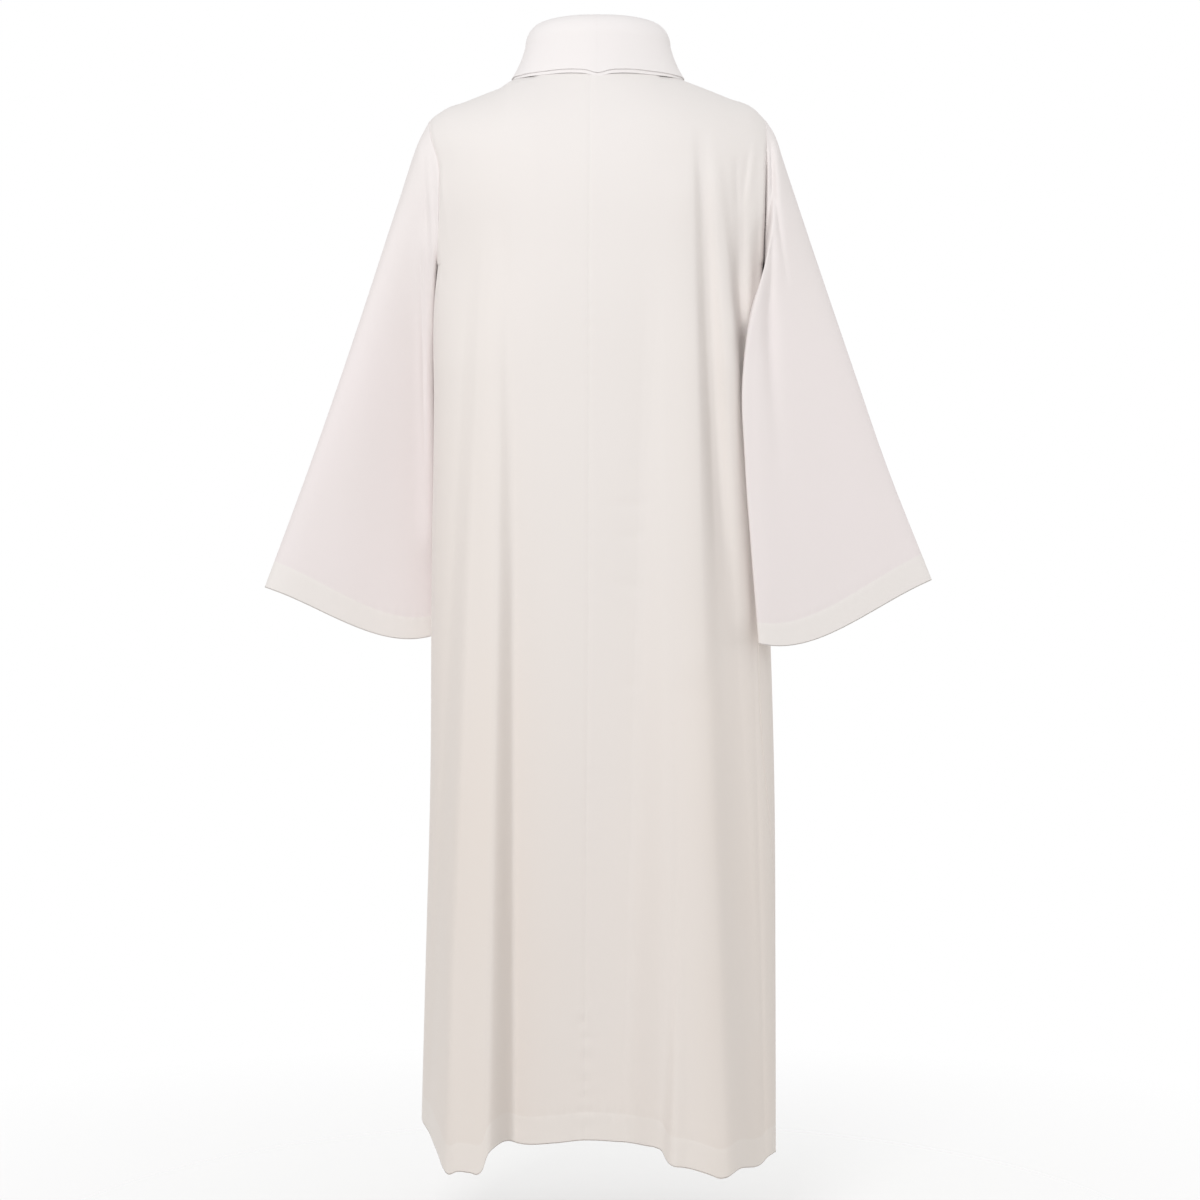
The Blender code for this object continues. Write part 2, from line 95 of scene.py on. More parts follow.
# Level sections of the body: half its width on each side, its depth behind and before, the y of
# each side seam and the x of the centre-back seam.
Section = namedtuple("Section", "height left right back front side_left side_right seam_x")
SECTIONS = (
    Section(0.015, 0.233, 0.233, 0.074, 0.078, 0.0, 0.0, 0.01),
    Section(-0.055, 0.2335, 0.233, 0.104, 0.094, 0.0, 0.0, 0.011),
    Section(-0.085, 0.23, 0.2325, 0.1135, 0.1035, 0.0, 0.0, 0.011),
    Section(-0.12, 0.2195, 0.232, 0.122, 0.114, 0.0, 0.0, 0.011),
    Section(-0.172, 0.218, 0.231, 0.1295, 0.1215, 0.0, 0.0, 0.0115),
    Section(-0.26, 0.2228, 0.229, 0.134, 0.124, 0.0, 0.0, 0.012),
    Section(-0.305, 0.2275, 0.2275, 0.136, 0.1255, -0.001, 0.0005, 0.012),
    Section(-0.45, 0.2282, 0.224, 0.138, 0.127, -0.006, 0.004, 0.012),
    Section(-0.7, 0.232, 0.236, 0.142, 0.132, -0.012, 0.01, 0.013),
    Section(-0.98, 0.234, 0.244, 0.148, 0.139, -0.018, 0.018, 0.015),
    Section(-1.24, 0.241, 0.245, 0.154, 0.147, -0.024, 0.026, 0.017),
    Section(-1.5, 0.248, 0.245, 0.16, 0.155, -0.03, 0.032, 0.018),
)

# How much further back than the side line each side seam lies, as a share of the quarter plan
Drift = namedtuple("Drift", "height left right")
SEAM_DRIFT = (
    Drift(-0.26, 0.0, 0.0), Drift(-0.45, 0.0, 0.1), Drift(-0.72, 0.0, 0.25),
    Drift(-0.93, 0.0, 0.25), Drift(-1.12, 0.0, 0.11), Drift(-1.5, 0.0, 0.03),
)

# Large folds: a crest with two flanks that grows from where it starts down to the hem, or to the
# height where it ends, which lies far below the hem for most.
Fold = namedtuple("Fold", "start x_start x_hem crest slope_in slope_out rise power end",
                  defaults=(-9.0,))
BACK_FOLDS = (
    Fold(-0.2, 0.142, 0.174, 0.027, 0.036, 0.042, 0.086, 1.35),
    Fold(-0.15, -0.11, -0.134, 0.034, 0.07, 0.064, 0.056, 1.4),
    Fold(-0.95, -0.134, -0.134, 0.036, 0.016, 0.05, 0.022, 2.2),
    Fold(-0.08, -0.138, -0.2, 0.005, 0.022, 0.036, -0.024, 0.6, -0.8),
    Fold(-0.12, -0.192, -0.232, 0.004, 0.022, 0.022, -0.012, 0.6, -0.72),
)
FRONT_FOLDS = (
    Fold(-0.22, 0.12, 0.16, 0.02, 0.045, 0.06, 0.07, 1.25),
    Fold(-0.2, -0.125, -0.15, 0.026, 0.04, 0.062, 0.076, 1.3),
    Fold(-0.5, 0.052, 0.08, 0.012, 0.034, 0.032, 0.026, 1.2),
    Fold(-0.6, -0.05, -0.074, 0.014, 0.034, 0.034, 0.022, 1.2),
)

# Height of the hem's edge across the robe
Hem = namedtuple("Hem", "x height")
BACK_HEM = (
    Hem(-0.245, -1.484), Hem(-0.2365, -1.484), Hem(-0.2275, -1.49), Hem(-0.1915, -1.479),
    Hem(-0.167, -1.483), Hem(-0.154, -1.478), Hem(-0.1205, -1.469), Hem(-0.107, -1.467),
    Hem(-0.1, -1.4635), Hem(-0.0935, -1.4525), Hem(-0.087, -1.45), Hem(-0.0715, -1.45),
    Hem(-0.048, -1.45), Hem(0.0175, -1.448), Hem(0.051, -1.4515), Hem(0.1045, -1.453),
    Hem(0.1285, -1.4455), Hem(0.135, -1.4475), Hem(0.142, -1.454), Hem(0.148, -1.4735),
    Hem(0.1525, -1.479), Hem(0.166, -1.4795), Hem(0.184, -1.48), Hem(0.198, -1.485),
    Hem(0.205, -1.4785), Hem(0.211, -1.47), Hem(0.22, -1.462), Hem(0.2295, -1.4565),
    Hem(0.241, -1.4515), Hem(0.2495, -1.447),
)
FRONT_HEM = (
    Hem(-0.245, -1.488), Hem(-0.15, -1.476), Hem(-0.08, -1.462), Hem(0.0, -1.458),
    Hem(0.08, -1.46), Hem(0.16, -1.47), Hem(0.248, -1.448),
)

# Sections of a sleeve along its run from armhole to cuff: its upper and its lower edge, half its
# thickness, how far that tapers towards the lower edge, and how far the section sags.
Station = namedtuple("Station", "run top_x top_y top_z low_x low_y low_z half taper sag")
LEFT_SLEEVE = (
    Station(0.0, 0.233, 0.0, -0.055, 0.2235, 0.0, -0.256, 0.062, 0.0, 0.0),
    Station(0.06, 0.247, 0.0, -0.083, 0.225, -0.012, -0.269, 0.06, 0.1, 0.0),
    Station(0.2, 0.278, -0.003, -0.172, 0.2284, -0.037, -0.362, 0.056, 0.48, 0.002),
    Station(0.45, 0.3355, -0.01, -0.343, 0.229, -0.05, -0.492, 0.05, 0.66, 0.006),
    Station(0.75, 0.4055, -0.018, -0.541, 0.23, -0.057, -0.646, 0.046, 0.68, 0.014),
    Station(1.0, 0.4685, -0.026, -0.707, 0.23, -0.06, -0.774, 0.042, 0.62, 0.022),
)
RIGHT_SLEEVE = (
    Station(0.0, -0.233, 0.0, -0.055, -0.23, 0.0, -0.2565, 0.062, 0.0, 0.0),
    Station(0.05, -0.245, 0.002, -0.077, -0.231, 0.018, -0.266, 0.06, 0.12, 0.0),
    Station(0.1, -0.255, 0.003, -0.108, -0.2262, 0.053, -0.284, 0.057, 0.25, 0.0),
    Station(0.17, -0.27, 0.005, -0.153, -0.213, 0.082, -0.316, 0.052, 0.45, 0.001),
    Station(0.34, -0.308, 0.01, -0.267, -0.197, 0.105, -0.42, 0.047, 0.72, 0.004),
    Station(0.55, -0.3555, 0.016, -0.408, -0.2, 0.113, -0.54, 0.045, 0.78, 0.009),
    Station(0.75, -0.399, 0.02, -0.535, -0.208, 0.114, -0.652, 0.044, 0.76, 0.014),
    Station(1.0, -0.463, 0.022, -0.697, -0.219, 0.108, -0.784, 0.042, 0.68, 0.022),
)
SAG_PEAK = 6.75              # brings the sag's curve to 1 at its lowest

# Sections of the collar by their turn from the centre back, in degrees: its stand and how that
# leans in, the roll's reach in, out and down, the fall's edge, and how much of the under collar
# shows below it.
Ring = namedtuple("Ring", "turn stand lean roll_in roll_out roll_down edge_out edge_height shows")
COLLAR_RINGS = (
    Ring(0.0, 0.072, 0.015, 0.005, 0.0255, 0.03, 0.015, 0.001, 0.005),
    Ring(25.0, 0.072, 0.016, 0.005, 0.027, 0.031, 0.016, 0.004, 0.005),
    Ring(45.0, 0.071, 0.017, 0.005, 0.029, 0.032, 0.0195, 0.0036, 0.0046),
    Ring(70.0, 0.07, 0.018, 0.005, 0.031, 0.033, 0.029, 0.0034, 0.0034),
    Ring(90.0, 0.07, 0.019, 0.005, 0.0315, 0.034, 0.035, 0.0038, 0.0026),
    Ring(112.0, 0.066, 0.017, 0.005, 0.031, 0.033, 0.037, -0.003, 0.004),
    Ring(135.0, 0.057, 0.013, 0.005, 0.027, 0.028, 0.037, -0.026, 0.0055),
    Ring(180.0, 0.044, 0.006, 0.004, 0.021, 0.02, 0.031, -0.074, 0.0055),
)
COLLAR_SEAM_X = 0.0015
COLLAR_FOOT_DROP = 0.0010
COLLAR_INSET = 0.0019
COLLAR_GAP = 0.00006
COLLAR_FRONT_SPREAD = 9.0
COLLAR_FRONT_STAND = 1.0
NOTCH_DROP = 0.0032
NOTCH_TURN = 12.0
FALL_SWEEP = 0.45            # how far the fall keeps off a straight line on its way out
UNDER_HIDDEN = 0.0120
UNDER_GAP = 0.0008

# Neckline and shoulders as the cloth lies a little below their edge, where the corner is lost
SOFT_NECK = 0.105            # half width of the eased neckline
SOFT_DROP = 0.025            # depth at which the cloth has left the edge's own line
SOFT_SHOULDER = (
    Shoulder(0.0, 0.0118), Shoulder(0.05, 0.0116), Shoulder(0.08, 0.0104),
    Shoulder(0.1, 0.0066), Shoulder(0.112, 0.0028), Shoulder(0.12, -0.0008),
    Shoulder(0.13, -0.0055), Shoulder(0.18, -0.0245), Shoulder(0.22, -0.0415),
    Shoulder(0.233, -0.055),
)
LEFT_LOWER = 0.0045          # the left shoulder hangs a little lower from collar to sleeve
LEFT_LOWER_FROM = 0.120
LEFT_LOWER_EASE = 0.018

# Squares of each piece's grid: across it, down to its hem, and down the hem
Net = namedtuple("Net", "across down hem")
YOKE_SHARE = 0.2             # share of a panel's squares down that lie above the underarm
BOWL_POWER = 1.6             # roundness of the eased neckline

# Hems, seams and stitches
HEM_TURN = 0.0004            # radius of the fold at a hem's edge
HEM_ARC_ROWS = 5
EDGE_STEPS = (0.0006, 0.0013, 0.0022, 0.0034)
PLACE_PER_METRE = 2.7        # share of the quarter plan for each metre along the cloth
SEAM_DIP = 0.0005            # how far the cloth dips into a seam
SEAM_DIP_WIDTH = 0.0024
HEM_DIP_WIDTH = 0.0030
SEAM_GATHERED = -1.24        # height below which the centre-back seam is gathered more
SEAM_GATHER_EASE = 0.1
CENTRE_SIZES = (0.00025, 0.00045)       # ripples all along that seam, and added at its foot
CENTRE_PUCKER = (0.010, 0.024)          # reach to each side and pitch of a seam's ripples
HEM_PUCKER = (0.012, 0.017, 0.00060)    # reach, pitch and size
CUFF_PUCKER = (0.012, 0.013, 0.00035)
PUCKER_DRIFTS = ((1.3, 31.0), (0.8, 77.0))      # sizes and rates of the ripples' drift
PUCKER_UNEVEN = (0.55, 0.45, 19.0, 2.0)         # mean, size, rate and phase of their strength
SLEEVE_LENGTH = 0.62
OUTER_BOXED = 0.30           # how far a sleeve's section is squarer than an oval at its outer edge
INNER_BOXED = 0.62
HEAD_FINE = 0.08             # share of the sleeve in which its rows lie closer
HEAD_ROWS = 40
HEAD_PLAIN = 0.012           # share of the sleeve over which its creases begin
HEAD_BLEND = 0.16            # share of the sleeve over which its head leaves the armhole's line
STITCH_PITCH = 0.0034
STITCH_LENGTH = 0.0026
STITCH_RADIUS = 0.00028

# How far the cloth is drawn in along each armhole seam.
Drawn = namedtuple("Drawn", "height left right")
ARMHOLE_DRAWN = (
    Drawn(-0.05, 0.001, 0.001), Drawn(-0.085, 0.0016, 0.002), Drawn(-0.112, 0.002, 0.0065),
    Drawn(-0.16, 0.0024, 0.009), Drawn(-0.23, 0.002, 0.007), Drawn(-0.29, 0.001, 0.004),
)
BODY_DRAWN_WIDTH = 0.0030
DRAWN_WIDTH = 0.0066
DRAWN_IN_FRONT = 0.6         # share of it on the front
DRAWN_DEPTH = 0.03           # depth of the armhole, and height over its foot, for all of it

# Long creases that hang down the cloth. x goes smoothly through three places, left and right are
# the half widths on the +X and the -X side, rise is negative for a trough, and fade is the length
# over which each end dies away.
Crease = namedtuple("Crease", "z0 x0 z1 x1 z2 x2 left right rise0 rise1 rise2 fade")
BACK_CREASES = (
    Crease(-0.18, -0.127, -0.42, -0.1325, -0.8, -0.141, 0.026, 0.0052, 0.005, 0.011, 0.003, 0.06),
    Crease(-0.72, -0.137, -1.0, -0.1475, -1.43, -0.165, 0.028, 0.014, 0.01, 0.02, 0.015, 0.3),
    Crease(-0.2, -0.14, -0.42, -0.148, -0.8, -0.163, 0.006, 0.012, -0.002, -0.005, -0.003, 0.12),
    Crease(-0.16, -0.1635, -0.34, -0.183, -0.74, -0.205, 0.013, 0.005, 0.004, 0.01, 0.006, 0.05),
    Crease(-0.2, -0.182, -0.4, -0.202, -0.7, -0.216, 0.006, 0.008, -0.002, -0.011, -0.004, 0.06),
    Crease(-0.12, -0.217, -0.22, -0.214, -0.34, -0.202, 0.01, 0.008, 0.002, 0.0075, 0.009, 0.04),
    Crease(-0.3, 0.172, -0.5, 0.17, -0.76, 0.169, 0.012, 0.009, -0.001, -0.0022, -0.0012, 0.12),
    Crease(-0.26, 0.1275, -0.42, 0.1262, -0.62, 0.1262, 0.009, 0.0056,
           -0.0026, -0.0046, -0.0026, 0.09),
    Crease(-1.13, 0.204, -1.3, 0.196, -1.455, 0.193, 0.006, 0.008, 0.001, 0.0024, 0.0024, 0.1),
    Crease(-1.33, -0.106, -1.4, -0.105, -1.46, -0.103, 0.004, 0.006, 0.001, 0.0018, 0.0018, 0.05),
    Crease(-0.8, 0.05, -1.1, 0.056, -1.44, 0.062, 0.03, 0.026, 0.0008, 0.002, 0.0024, 0.2),
    Crease(-0.85, -0.042, -1.15, -0.046, -1.44, -0.05, 0.026, 0.024, 0.0008, 0.0018, 0.0022, 0.2),
    Crease(-0.8, -0.212, -1.1, -0.219, -1.44, -0.226, 0.003, 0.003, -0.001, -0.0022, -0.0022, 0.1),
    Crease(-0.13, -0.2285, -0.23, -0.227, -0.33, -0.224, 0.005, 0.0036, 0.003, 0.008, 0.008, 0.05),
)
FRONT_CREASES = (
    Crease(-0.15, 0.116, -0.45, 0.108, -0.9, 0.102, 0.008, 0.026, 0.003, 0.006, 0.005, 0.12),
    Crease(-0.12, -0.108, -0.4, -0.112, -0.82, -0.118, 0.024, 0.008, 0.003, 0.006, 0.004, 0.12),
    Crease(-0.2, 0.17, -0.48, 0.176, -0.82, 0.185, 0.007, 0.016, 0.002, 0.005, 0.004, 0.1),
    Crease(-0.16, -0.166, -0.42, -0.18, -0.76, -0.196, 0.016, 0.0065, 0.003, 0.006, 0.004, 0.1),
    Crease(-0.42, 0.034, -0.7, 0.03, -1.1, 0.032, 0.012, 0.012, -0.001, -0.0024, -0.0016, 0.2),
    Crease(-0.5, -0.028, -0.9, -0.03, -1.3, -0.034, 0.01, 0.014, -0.001, -0.0022, -0.002, 0.2),
)
LEFT_SLEEVE_BACK = (
    Crease(-0.125, 0.2345, -0.19, 0.23, -0.262, 0.2275, 0.003, 0.003,
           0.0012, 0.0028, 0.0012, 0.03),
    Crease(-0.13, 0.2385, -0.2, 0.2365, -0.29, 0.235, 0.003, 0.003, -0.001, -0.002, -0.0006, 0.03),
    Crease(-0.25, 0.229, -0.4, 0.228, -0.62, 0.228, 0.014, 0.005, 0.008, 0.019, 0.014, 0.06),
    Crease(-0.27, 0.2455, -0.38, 0.2455, -0.5, 0.245, 0.002, 0.0022,
           -0.0012, -0.0022, -0.001, 0.05),
    Crease(-0.25, 0.283, -0.45, 0.296, -0.72, 0.31, 0.024, 0.016, -0.0006, -0.0018, -0.0012, 0.12),
    Crease(-0.42, 0.35, -0.56, 0.376, -0.7, 0.398, 0.02, 0.02, -0.0006, -0.0014, -0.001, 0.1),
)
RIGHT_SLEEVE_BACK = (
    Crease(-0.26, -0.233, -0.33, -0.232, -0.52, -0.244, 0.006, 0.009,
           -0.004, -0.009, -0.0016, 0.05),
    Crease(-0.105, -0.239, -0.185, -0.245, -0.275, -0.256, 0.003, 0.0036,
           -0.004, -0.0062, -0.0024, 0.03),
    Crease(-0.3, -0.22, -0.45, -0.219, -0.7, -0.232, 0.008, 0.014, 0.001, 0.003, 0.002, 0.08),
    Crease(-0.26, -0.29, -0.46, -0.312, -0.7, -0.332, 0.022, 0.026,
           -0.0006, -0.0018, -0.0014, 0.12),
    Crease(-0.12, -0.238, -0.2, -0.2385, -0.29, -0.236, 0.003, 0.004,
           -0.002, -0.004, -0.003, 0.05),
)
LEFT_SLEEVE_FRONT = (
    Crease(-0.105, 0.24, -0.3, 0.244, -0.66, 0.25, 0.01, 0.005, -0.003, -0.006, -0.002, 0.05),
    Crease(-0.25, 0.288, -0.45, 0.308, -0.71, 0.33, 0.02, 0.018, -0.0006, -0.002, -0.0014, 0.12),
)
RIGHT_SLEEVE_FRONT = (
    Crease(-0.1, -0.24, -0.3, -0.248, -0.64, -0.26, 0.004, 0.014, 0.001, 0.0036, 0.0026, 0.06),
    Crease(-0.24, -0.288, -0.45, -0.312, -0.7, -0.338, 0.02, 0.022,
           -0.0006, -0.0018, -0.0014, 0.12),
)

# Short wrinkles, each along a bowed line from (x0, z0) to (x1, z1). width is the half width.
Wrinkle = namedtuple("Wrinkle", "x0 z0 x1 z1 bow width rise")
BACK_WRINKLES = (
    Wrinkle(-0.188, -0.115, -0.191, -0.205, 0.001, 0.0036, -0.0024),
    Wrinkle(-0.216, -0.09, -0.205, -0.185, 0.001, 0.0036, 0.002),
    Wrinkle(-0.208, -0.1, -0.198, -0.19, 0.001, 0.0034, -0.0018),
    Wrinkle(-0.01, -0.596, -0.076, -0.592, 0.003, 0.005, -0.0007),
    Wrinkle(-0.02, -0.64, -0.07, -0.634, 0.002, 0.005, -0.0006),
    Wrinkle(-0.012, -0.7, -0.082, -0.706, 0.004, 0.0055, -0.0007),
    Wrinkle(-0.024, -0.84, -0.064, -0.836, 0.002, 0.005, -0.0006),
    Wrinkle(0.215, -0.13, 0.208, -0.2, 0.002, 0.0034, 0.0012),
    Wrinkle(0.216, -0.16, 0.212, -0.25, 0.001, 0.0036, -0.001),
    Wrinkle(0.016, -1.283, 0.033, -1.276, 0.001, 0.0022, 0.0008),
    Wrinkle(0.016, -1.283, 0.006, -1.268, 0.001, 0.0022, 0.0008),
    Wrinkle(0.016, -1.283, 0.027, -1.3, 0.001, 0.0022, -0.0008),
    Wrinkle(0.016, -1.283, -0.002, -1.292, 0.001, 0.0022, 0.0007),
    Wrinkle(0.02, -1.34, 0.042, -1.352, 0.001, 0.003, 0.0006),
    Wrinkle(0.014, -1.365, -0.006, -1.376, 0.001, 0.003, 0.0006),
)
FRONT_WRINKLES = (
    Wrinkle(0.006, -0.36, 0.046, -0.366, 0.002, 0.0048, -0.0006),
    Wrinkle(-0.008, -0.52, -0.052, -0.512, 0.002, 0.005, -0.0007),
    Wrinkle(0.21, -0.12, 0.196, -0.19, 0.002, 0.004, 0.0016),
    Wrinkle(-0.208, -0.125, -0.198, -0.185, 0.001, 0.0036, 0.0014),
)


def column(rows, name):
    """One named column of a table as an array."""
    return np.array([getattr(row, name) for row in rows])


def smooth_read(rows, name, at):
    """Read a table's column on a cubic curve with the rows' mean slopes, by its first column."""
    keys, values = column(rows, rows[0]._fields[0]), column(rows, name)
    if keys[0] > keys[-1]:
        keys, values = keys[::-1], values[::-1]
    slopes = np.gradient(values, keys)
    at = np.clip(at, keys[0], keys[-1])
    cell = np.clip(np.searchsorted(keys, at) - 1, 0, len(keys) - 2)
    span = keys[cell + 1] - keys[cell]
    share = (at - keys[cell]) / span
    rest = 1.0 - share
    return (
        rest ** 2 * (1 + 2 * share) * values[cell]
        + share ** 2 * (3 - 2 * share) * values[cell + 1]
        + share * rest ** 2 * span * slopes[cell]
        - share ** 2 * rest * span * slopes[cell + 1]
    )


def ease(value):
    """0 below 0, 1 above 1, and a smooth step between them."""
    value = np.clip(value, 0.0, 1.0)
    return value * value * (3.0 - 2.0 * value)


def neck_point(turn):
    """A point of the neckline: an ellipse whose height dips towards the centre front."""
    forward = np.cos(turn)
    reach = np.where(forward > 0, NECK_BACK_REACH, NECK_FRONT_REACH)
    end_height = np.where(forward > 0, NECK_BACK_HEIGHT, NECK_FRONT_HEIGHT)
    dip = np.abs(forward) ** NECK_DIP_POWER
    height = NECK_SIDE_HEIGHT + (end_height - NECK_SIDE_HEIGHT) * dip
    return NECK_HALF_WIDTH * np.sin(turn), reach * forward, height


def fold_height(folds, x, height, hem):
    """Sum of the folds: rise times a power of the way down times an eased flank off the crest."""
    total = np.zeros_like(x)
    for fold in folds:
        down = np.clip((fold.start - height) / (fold.start - hem), 0.0, 1.0)
        middle = fold.x_start + (fold.x_hem - fold.x_start) * down
        grown = FOLD_START_SHARE + (1.0 - FOLD_START_SHARE) * down
        side = np.sign(fold.x_hem)
        off = (x - middle) * side
        slope = np.where(off < 0, fold.slope_in, fold.slope_out) * grown
        flank = 1.0 - (np.abs(off) - fold.crest * grown) / slope
        lasting = ease((height - fold.end) / FOLD_END_EASE)
        total += fold.rise * down ** fold.power * ease(flank) * lasting
    return total


def crease_height(creases, x, z):
    """Sum of the creases: each is a bell across a line whose x is a parabola of z.

    The parabola goes through the three places, the rise goes through the three rises, and both
    ends are eased off.
    """
    total = np.zeros_like(x)
    for c in creases:
        first = (z - c.z1) * (z - c.z2) / ((c.z0 - c.z1) * (c.z0 - c.z2))
        second = (z - c.z0) * (z - c.z2) / ((c.z1 - c.z0) * (c.z1 - c.z2))
        third = (z - c.z0) * (z - c.z1) / ((c.z2 - c.z0) * (c.z2 - c.z1))
        across = x - (c.x0 * first + c.x1 * second + c.x2 * third)
        upper = ease((c.z0 - z) / (c.z0 - c.z1))
        lower = ease((c.z1 - z) / (c.z1 - c.z2))
        rise = c.rise0 + (c.rise1 - c.rise0) * upper + (c.rise2 - c.rise1) * lower
        ends = ease((c.z0 + c.fade - z) / c.fade) * ease((z - c.z2 + c.fade) / c.fade)
        bell = np.exp(-0.5 * (across / np.where(across > 0, c.left, c.right)) ** 2)
        total += rise * bell * ends
    return total


def wrinkle_height(wrinkles, x, z):
    """Sum of the wrinkles: each is a bell across its bowed line times a half sine along it."""
    total = np.zeros_like(x)
    for w in wrinkles:
        run_x, run_z = w.x1 - w.x0, w.z1 - w.z0
        length = np.hypot(run_x, run_z)
        along = np.clip(((x - w.x0) * run_x + (z - w.z0) * run_z) / length ** 2, 0.0, 1.0)
        across = ((z - w.z0) * run_x - (x - w.x0) * run_z) / length
        across = across - w.bow * 4.0 * along * (1.0 - along)
        total += w.rise * np.exp(-0.5 * (across / w.width) ** 2) * np.sin(np.pi * along)
    return total


def pucker(along, across, reach, pitch, size):
    """Ripples across a seam: a sine along it with a drifting pitch, dying away on either side."""
    drift = sum(most * np.sin(rate * along) for most, rate in PUCKER_DRIFTS)
    wave = np.sin(2.0 * np.pi * along / pitch + drift)
    mean, swing, rate, phase = PUCKER_UNEVEN
    strength = mean + swing * np.sin(rate * along + phase)
    return size * wave * strength * np.exp(-(across / reach) ** 2)


def body_point(side, place, height, top_reach, top_height, back_piece):
    """A point of the draped body: sections across, an armhole oval at the side, folds added out.

    x is the width times the sine of the place. y is the armhole's reach and, by the plan's share
    of it, the rest of the way to the section's depth, with folds and creases added and the dips
    of the seams taken off.
    """
    side_name = "left" if side > 0 else "right"
    width = smooth_read(SECTIONS, side_name, height)
    share = np.sin(0.5 * np.pi * place)
    x = side * width * share
    behind = np.where(np.abs(place - 1.0) < SEAM_PLACE / 2, back_piece, place < 1.0)
    facing = np.where(behind, 1.0, -1.0)
    back = smooth_read(SECTIONS, "back", height)
    front = smooth_read(SECTIONS, "front", height)
    depth = np.where(behind, back, front)
    below = np.clip((top_height - height) / SHOULDER_ROUND, 0.0, 1.0)
    turned = np.clip(1.0 - (1.0 - below) ** 2, 0.0, 1.0) ** SHOULDER_POWER
    middle = top_reach + (depth - top_reach) * turned

    centre = 0.5 * (top_height + ARMHOLE_BOTTOM)
    half = 0.5 * (top_height - ARMHOLE_BOTTOM)
    inside = np.clip(1.0 - ((height - centre) / half) ** 2, 0.0, 1.0)
    power = 0.5 - 0.5 * ARMHOLE_BOXED * ease((centre - height) / half)
    oval = ARMHOLE_HALF_DEPTH * inside ** power
    eased = ARMHOLE_HALF_DEPTH * (1.0 - ease((centre - height) / UNDERARM_EASE))
    near_edge = np.abs(share) ** ARMHOLE_EDGE_POWER
    armhole = np.where(height > centre, oval, eased + (oval - eased) * near_edge)
    round_plan = np.clip(1.0 - np.abs(share) ** PLAN_POWER, 0.0, 1.0) ** (1.0 / PLAN_POWER)
    flat_plan = 1.0 - np.abs(share) ** ARMHOLE_PLAN_POWER
    blend = ease((PLAN_BLEND_TOP - height) / (PLAN_BLEND_TOP - PLAN_BLEND_BOTTOM))
    plan = flat_plan + (round_plan - flat_plan) * blend
    reach = np.maximum(armhole + (middle - armhole) * plan, 0.5 * SEAM_GAP)

    hem = SECTIONS[-1].height
    folds = np.where(behind, fold_height(BACK_FOLDS, x, height, hem),
                     fold_height(FRONT_FOLDS, x, height, hem))
    folds = folds * ease((1.0 - np.abs(share)) / FOLD_FADE)
    creases = np.where(behind, crease_height(BACK_CREASES, x, height),
                       crease_height(FRONT_CREASES, x, height))
    creases += np.where(behind, wrinkle_height(BACK_WRINKLES, x, height),
                        wrinkle_height(FRONT_WRINKLES, x, height))
    creases = creases * ease((1.0 - np.abs(share)) / CREASE_FADE) * ease(below / CREASE_TOP)

    seam_x = smooth_read(SECTIONS, "seam_x", height)
    off = x - np.where(behind, seam_x, 0.0)
    seam = SEAM_DIP * np.exp(-(off / SEAM_DIP_WIDTH) ** 2)
    even, at_foot = CENTRE_SIZES
    gathered = even + at_foot * ease((SEAM_GATHERED - height) / SEAM_GATHER_EASE)
    seam = seam + np.where(behind, pucker(height, off, *CENTRE_PUCKER, gathered), 0.0)
    drawn = smooth_read(ARMHOLE_DRAWN, side_name, height)
    drawn = drawn * np.where(behind, 1.0, DRAWN_IN_FRONT) * np.clip(reach / DRAWN_DEPTH, 0.0, 1.0)
    drawn = drawn * np.exp(-((width - np.abs(x)) / BODY_DRAWN_WIDTH) ** 2)
    drawn = drawn * ease((height - ARMHOLE_BOTTOM) / DRAWN_DEPTH)
    side_line = smooth_read(SECTIONS, "side_" + side_name, height)
    y = facing * (reach + folds + creases - seam - drawn) + side_line * (1.0 - plan)
    return np.stack([x, y, height], axis=-1)


